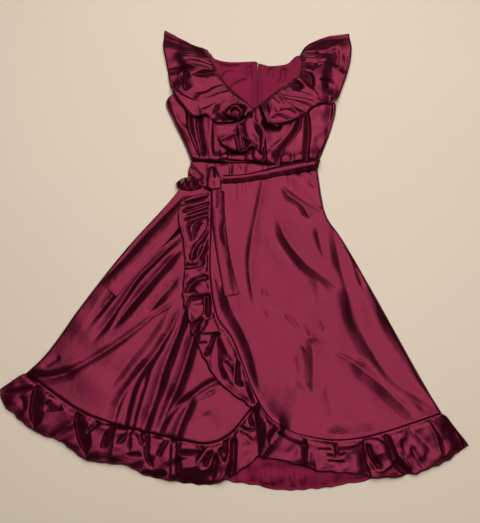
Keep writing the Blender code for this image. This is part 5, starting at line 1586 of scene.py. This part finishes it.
def lay_collar(context, name, sides, folds, seed):
    """One flutter collar, gathered at the neck and free at its outer edge."""
    sizes = context.scene.dress_sizes
    width = (length_of(sides.top) + length_of(sides.hem)) / 2 + COLLAR_SPARE
    across = spaced(width, COLLAR_STEP, fine_end=True)
    down = spaced(length_of(sides.right), COLLAR_STEP, fine_start=True)
    plan = patch(sides, across, down)
    relief, shift = fold_relief(plan, folds, sizes.fold_depth * COLLAR.depth, COLLAR_BACK, COLLAR_STEEPEST)
    far = np.linalg.norm(plan - plan[:, :1], axis=2)
    near_edge = np.linalg.norm(plan - plan[:, -1:], axis=2)
    along = np.broadcast_to(reach(plan[:, 0])[:, None], far.shape)
    edge = COLLAR_EDGE + (1 - COLLAR_EDGE) * ease(near_edge / COLLAR_LIP)
    body = COLLAR_AIR * ease(COLLAR_START + far / COLLAR_RISE) * edge
    own, opening = flutter(plan, along, far, near_edge, body, relief, pressed, seed, COLLAR, sizes)
    points = rest(plan + shift * opening[..., None], own, sizes, COLLAR_PASSES)
    piece = add_cloth(name, points, context, ("right", "top"))


def curl_points(sizes):
    """A ribbon that spirals inwards, its foot on the bodice and its rim leaning out."""
    turns, out = (np.linspace(0, 1, count) for count in CURL_POINTS)
    angle = CURL_START + turns * CURL_TURNS * 2 * pi
    wobble = 1.0
    for part in CURL_WOBBLES:
        wobble = wobble + part.share * np.sin(angle * part.pace + part.start)
    wide, tall = (outer * (1 - turns) + inner * turns for outer, inner in zip(CURL_OUTER, CURL_INNER))
    centre = np.array(CURL_CENTRE)
    rim = centre + np.stack([wide * wobble * np.cos(angle), tall * wobble * np.sin(angle)], axis=1)
    foot = centre + (rim - centre) * CURL_FOOT
    share = out[:, None, None]
    plan = foot[None] * (1 - share) + rim[None] * share
    top = taut(HEAP.top(), 20)
    base = read_raster(top, centre + 0 * rim) * 0.5 + read_raster(top, rim) * 0.5
    rise = CURL_RISE * (1 - CURL_SWING + CURL_SWING * np.sin(angle * CURL_SWING_PACE))
    rise = rise * (1 - CURL_DROP * turns)
    height = base[None] * CURL_SUNK + rise[None] * (1 - (1 - out[:, None]) ** CURL_LEAN) + CURL_CLEAR
    floor = read_raster(HEAP.top(), plan) + lift(sizes)
    return np.dstack([plan, np.maximum(height, floor)])


def lay_curl(context):
    """The cascade's top, rolled into an open rosette."""
    piece = add_cloth("cascade_curl", curl_points(context.scene.dress_sizes), context, ("hem",))


# ---------------------------------------------------------------------------------------------------
# The tie belt
# ---------------------------------------------------------------------------------------------------
TAIL_LONG_CROWN = 0.55
BELT_SIDE_CROWN = 0.75
BELT_CROWN = 0.95
LOOP_CROWN = 1.2
KNOT_SIZE = (5.0, 7.0)
KNOT_STEP = 0.16
KNOT_AIR = 0.15
KNOT_ROUNDING = 0.25    # the nearer nil, the flatter its top


def lay_knot(context):
    """The belt's knot: the strip wrapped once over itself."""
    sizes = context.scene.dress_sizes
    across, down = (spaced(size, KNOT_STEP) for size in KNOT_SIZE)
    plan = patch(KNOT, across, down)
    relief, shift = fold_relief(plan, KNOT_FOLDS)
    swell = np.sin(pi * down)[:, None] ** KNOT_ROUNDING * np.sin(pi * across)[None] ** KNOT_ROUNDING
    under = read_raster(taut(HEAP.top(), RUFFLE_PASSES), plan)
    own = (under.max() - under + KNOT_AIR + relief) * swell
    points = rest(plan + shift * swell[..., None], own, sizes, RUFFLE_PASSES)
    piece = add_cloth("belt_knot", points, context)


def lay_belt(context):
    """The tie belt's side, front, loop and long tail, and the knot over them."""
    piece = lay_band(context, "belt_side", BELT_SIDE, BELT_SIDE_FOLDS, BELT_SIDE_CROWN, edges=BAND_EDGES)
    piece = lay_band(context, "belt_front", BELT_FRONT, BELT_FOLDS, BELT_CROWN, edges=BAND_EDGES,
                     level=True)
    piece = lay_band(context, "belt_loop", LOOP, LOOP_FOLDS, LOOP_CROWN, edges=BAND_EDGES)
    piece = lay_band(context, "belt_tail_long", TAIL_LONG, TAIL_LONG_FOLDS, TAIL_LONG_CROWN,
                     edges=TAIL_EDGES)
    lay_knot(context)


# ---------------------------------------------------------------------------------------------------
# Stage: floor, lights and camera, in metres
# ---------------------------------------------------------------------------------------------------
CAMERA_PLACE = (0.0235, -0.5775, 1.5)
CAMERA_TILT = 18.0      # degrees back from straight down
CAMERA_LENS = 38.55
SENSOR_WIDTH = 36.0
FLOOR_SIDE = 9.0
FLOOR_LEVEL = -0.0005
WARM = (1.0, 0.96, 0.9)
WARMER = (1.0, 0.95, 0.88)
Lamp = namedtuple("Lamp", "name place aim width depth power colour")
LAMPS = (               # power in watts
    Lamp("ceiling_softbox", (0.1, 0.6, 2.5), (0.1, 0.6, 0.0), 3.0, 3.6, 78.0, WARM),
    Lamp("ceiling_far", (0.1, 2.8, 2.5), (0.1, 2.8, 0.0), 3.0, 0.8, 17.0, WARM),
    Lamp("downlight_right", (1.22, 1.68, 2.45), (0.3, 0.3, 0.0), 0.4, 0.4, 5.0, WARMER),
    Lamp("downlight_far", (-0.1, 2.9, 2.45), (0.0, 0.3, 0.0), 0.4, 0.4, 5.0, WARMER),
    Lamp("downlight_near", (1.6, -0.65, 2.45), (0.3, -0.3, 0.0), 0.4, 0.4, 5.0, WARMER),
)
ROOM_LIGHT = 0.06
ROOM_COLOUR = (1.0, 0.97, 0.93, 1)


def add_lamp(scene, lamp):
    """One rectangular soft light, turned to what it aims at."""
    light = bpy.data.lights.new(lamp.name, "AREA")
    light.shape = "RECTANGLE"
    light.size = lamp.width
    light.size_y = lamp.depth
    light.energy = lamp.power
    light.color = lamp.colour
    holder = bpy.data.objects.new(lamp.name, light)
    holder.location = lamp.place
    aim = Vector([target - place for target, place in zip(lamp.aim, lamp.place)])
    holder.rotation_euler = aim.to_track_quat("-Z", "Y").to_euler()
    scene.collection.objects.link(holder)


def lay_stage(context):
    """The floor, the lights and the camera."""
    scene = context.scene
    bpy.ops.mesh.primitive_plane_add(size=FLOOR_SIDE, location=(0, 0, FLOOR_LEVEL))
    floor = context.object
    floor.name = "floor"
    floor.data.materials.append(floor_paint("floor", scene.dress_colours.floor))
    camera = bpy.data.objects.new("camera", bpy.data.cameras.new("camera"))
    camera.data.lens = CAMERA_LENS
    camera.data.sensor_width = SENSOR_WIDTH
    camera.location = CAMERA_PLACE
    camera.rotation_euler = (radians(CAMERA_TILT), 0, 0)
    scene.collection.objects.link(camera)
    scene.camera = camera
    for lamp in LAMPS:
        add_lamp(scene, lamp)
    world = bpy.data.worlds.new("room")
    world.use_nodes = True
    background = world.node_tree.nodes["Background"]
    background.inputs["Color"].default_value = ROOM_COLOUR
    background.inputs["Strength"].default_value = ROOM_LIGHT
    scene.world = world
    scene.view_settings.view_transform = "Standard"


# ---------------------------------------------------------------------------------------------------
# Operators, panel and registration
# ---------------------------------------------------------------------------------------------------


class DRESS_OT_stage(bpy.types.Operator):
    """Clear the heap, and set up the floor, the lights and the camera"""
    bl_idname = "dress.stage"
    bl_label = "Stage"

    def execute(self, context):
        HEAP.clear()
        lay_stage(context)
        return {"FINISHED"}


class DRESS_OT_back(bpy.types.Operator):
    """Lay the back of the dress flat on the floor"""
    bl_idname = "dress.back"
    bl_label = "Back"

    def execute(self, context):
        lay_skirt_back(context)
        lay_bodice_backs(context)
        return {"FINISHED"}


class DRESS_OT_waist(bpy.types.Operator):
    """Lay the waistband and the belt's back"""
    bl_idname = "dress.waist"
    bl_label = "Waistband"

    def execute(self, context):
        lay_waist(context)
        return {"FINISHED"}


class DRESS_OT_under_skirt(bpy.types.Operator):
    """Lay the skirt's right front with its hem ruffle and the belt's short end"""
    bl_idname = "dress.under_skirt"
    bl_label = "Under skirt"

    def execute(self, context):
        lay_under_skirt(context)
        return {"FINISHED"}


class DRESS_OT_over_skirt(bpy.types.Operator):
    """Lay the skirt's left front with the ruffles along its wrap edge and its hem"""
    bl_idname = "dress.over_skirt"
    bl_label = "Over skirt"

    def execute(self, context):
        lay_over_skirt(context)
        return {"FINISHED"}


class DRESS_OT_bodice(bpy.types.Operator):
    """Lay the two gathered fronts of the bodice"""
    bl_idname = "dress.bodice"
    bl_label = "Bodice"

    def execute(self, context):
        lay_bodice_fronts(context)
        return {"FINISHED"}


class DRESS_OT_cascade(bpy.types.Operator):
    """Lay the cascade's lobes"""
    bl_idname = "dress.cascade"
    bl_label = "Cascade"

    def execute(self, context):
        lay_cascade(context)
        return {"FINISHED"}


class DRESS_OT_collars(bpy.types.Operator):
    """Lay the two flutter collars round the neck"""
    bl_idname = "dress.collars"
    bl_label = "Collars"

    def execute(self, context):
        lay_collar(context, "collar_ruffle_right", COLLAR_RIGHT, COLLAR_RIGHT_FOLDS, 81)
        lay_collar(context, "collar_ruffle_left", COLLAR_LEFT, COLLAR_LEFT_FOLDS, 85)
        return {"FINISHED"}


class DRESS_OT_curl(bpy.types.Operator):
    """Roll the cascade's top into a rosette"""
    bl_idname = "dress.curl"
    bl_label = "Curl"

    def execute(self, context):
        lay_curl(context)
        return {"FINISHED"}


class DRESS_OT_belt(bpy.types.Operator):
    """Tie the belt"""
    bl_idname = "dress.belt"
    bl_label = "Belt"

    def execute(self, context):
        lay_belt(context)
        return {"FINISHED"}


OPERATORS = (DRESS_OT_stage, DRESS_OT_back, DRESS_OT_waist, DRESS_OT_under_skirt, DRESS_OT_over_skirt,
             DRESS_OT_bodice, DRESS_OT_cascade, DRESS_OT_collars, DRESS_OT_curl, DRESS_OT_belt)


class DRESS_PT_panel(bpy.types.Panel):
    """Lists the dress's settings and its groups of pieces"""
    bl_idname = "DRESS_PT_panel"
    bl_label = "Satin wrap dress"
    bl_space_type = "VIEW_3D"
    bl_region_type = "UI"
    bl_category = "Dress"

    def draw(self, context):
        for settings in (context.scene.dress_sizes, context.scene.dress_colours):
            for name in settings.__annotations__:
                self.layout.prop(settings, name)
        for operator in OPERATORS:
            self.layout.operator(operator.bl_idname)


CLASSES = (DressSizes, DressColours) + OPERATORS + (DRESS_PT_panel,)


def register():
    """Register the classes and attach the settings to the scene."""
    for item in CLASSES:
        bpy.utils.register_class(item)
    bpy.types.Scene.dress_sizes = bpy.props.PointerProperty(type=DressSizes)
    bpy.types.Scene.dress_colours = bpy.props.PointerProperty(type=DressColours)


def unregister():
    """Undo register."""
    del bpy.types.Scene.dress_colours
    del bpy.types.Scene.dress_sizes
    for item in reversed(CLASSES):
        bpy.utils.unregister_class(item)


def main():
    """Lay the whole dress."""
    register()
    for operator in OPERATORS:
        group, name = operator.bl_idname.split(".")
        getattr(getattr(bpy.ops, group), name)()


if __name__ == "__main__":
    main()
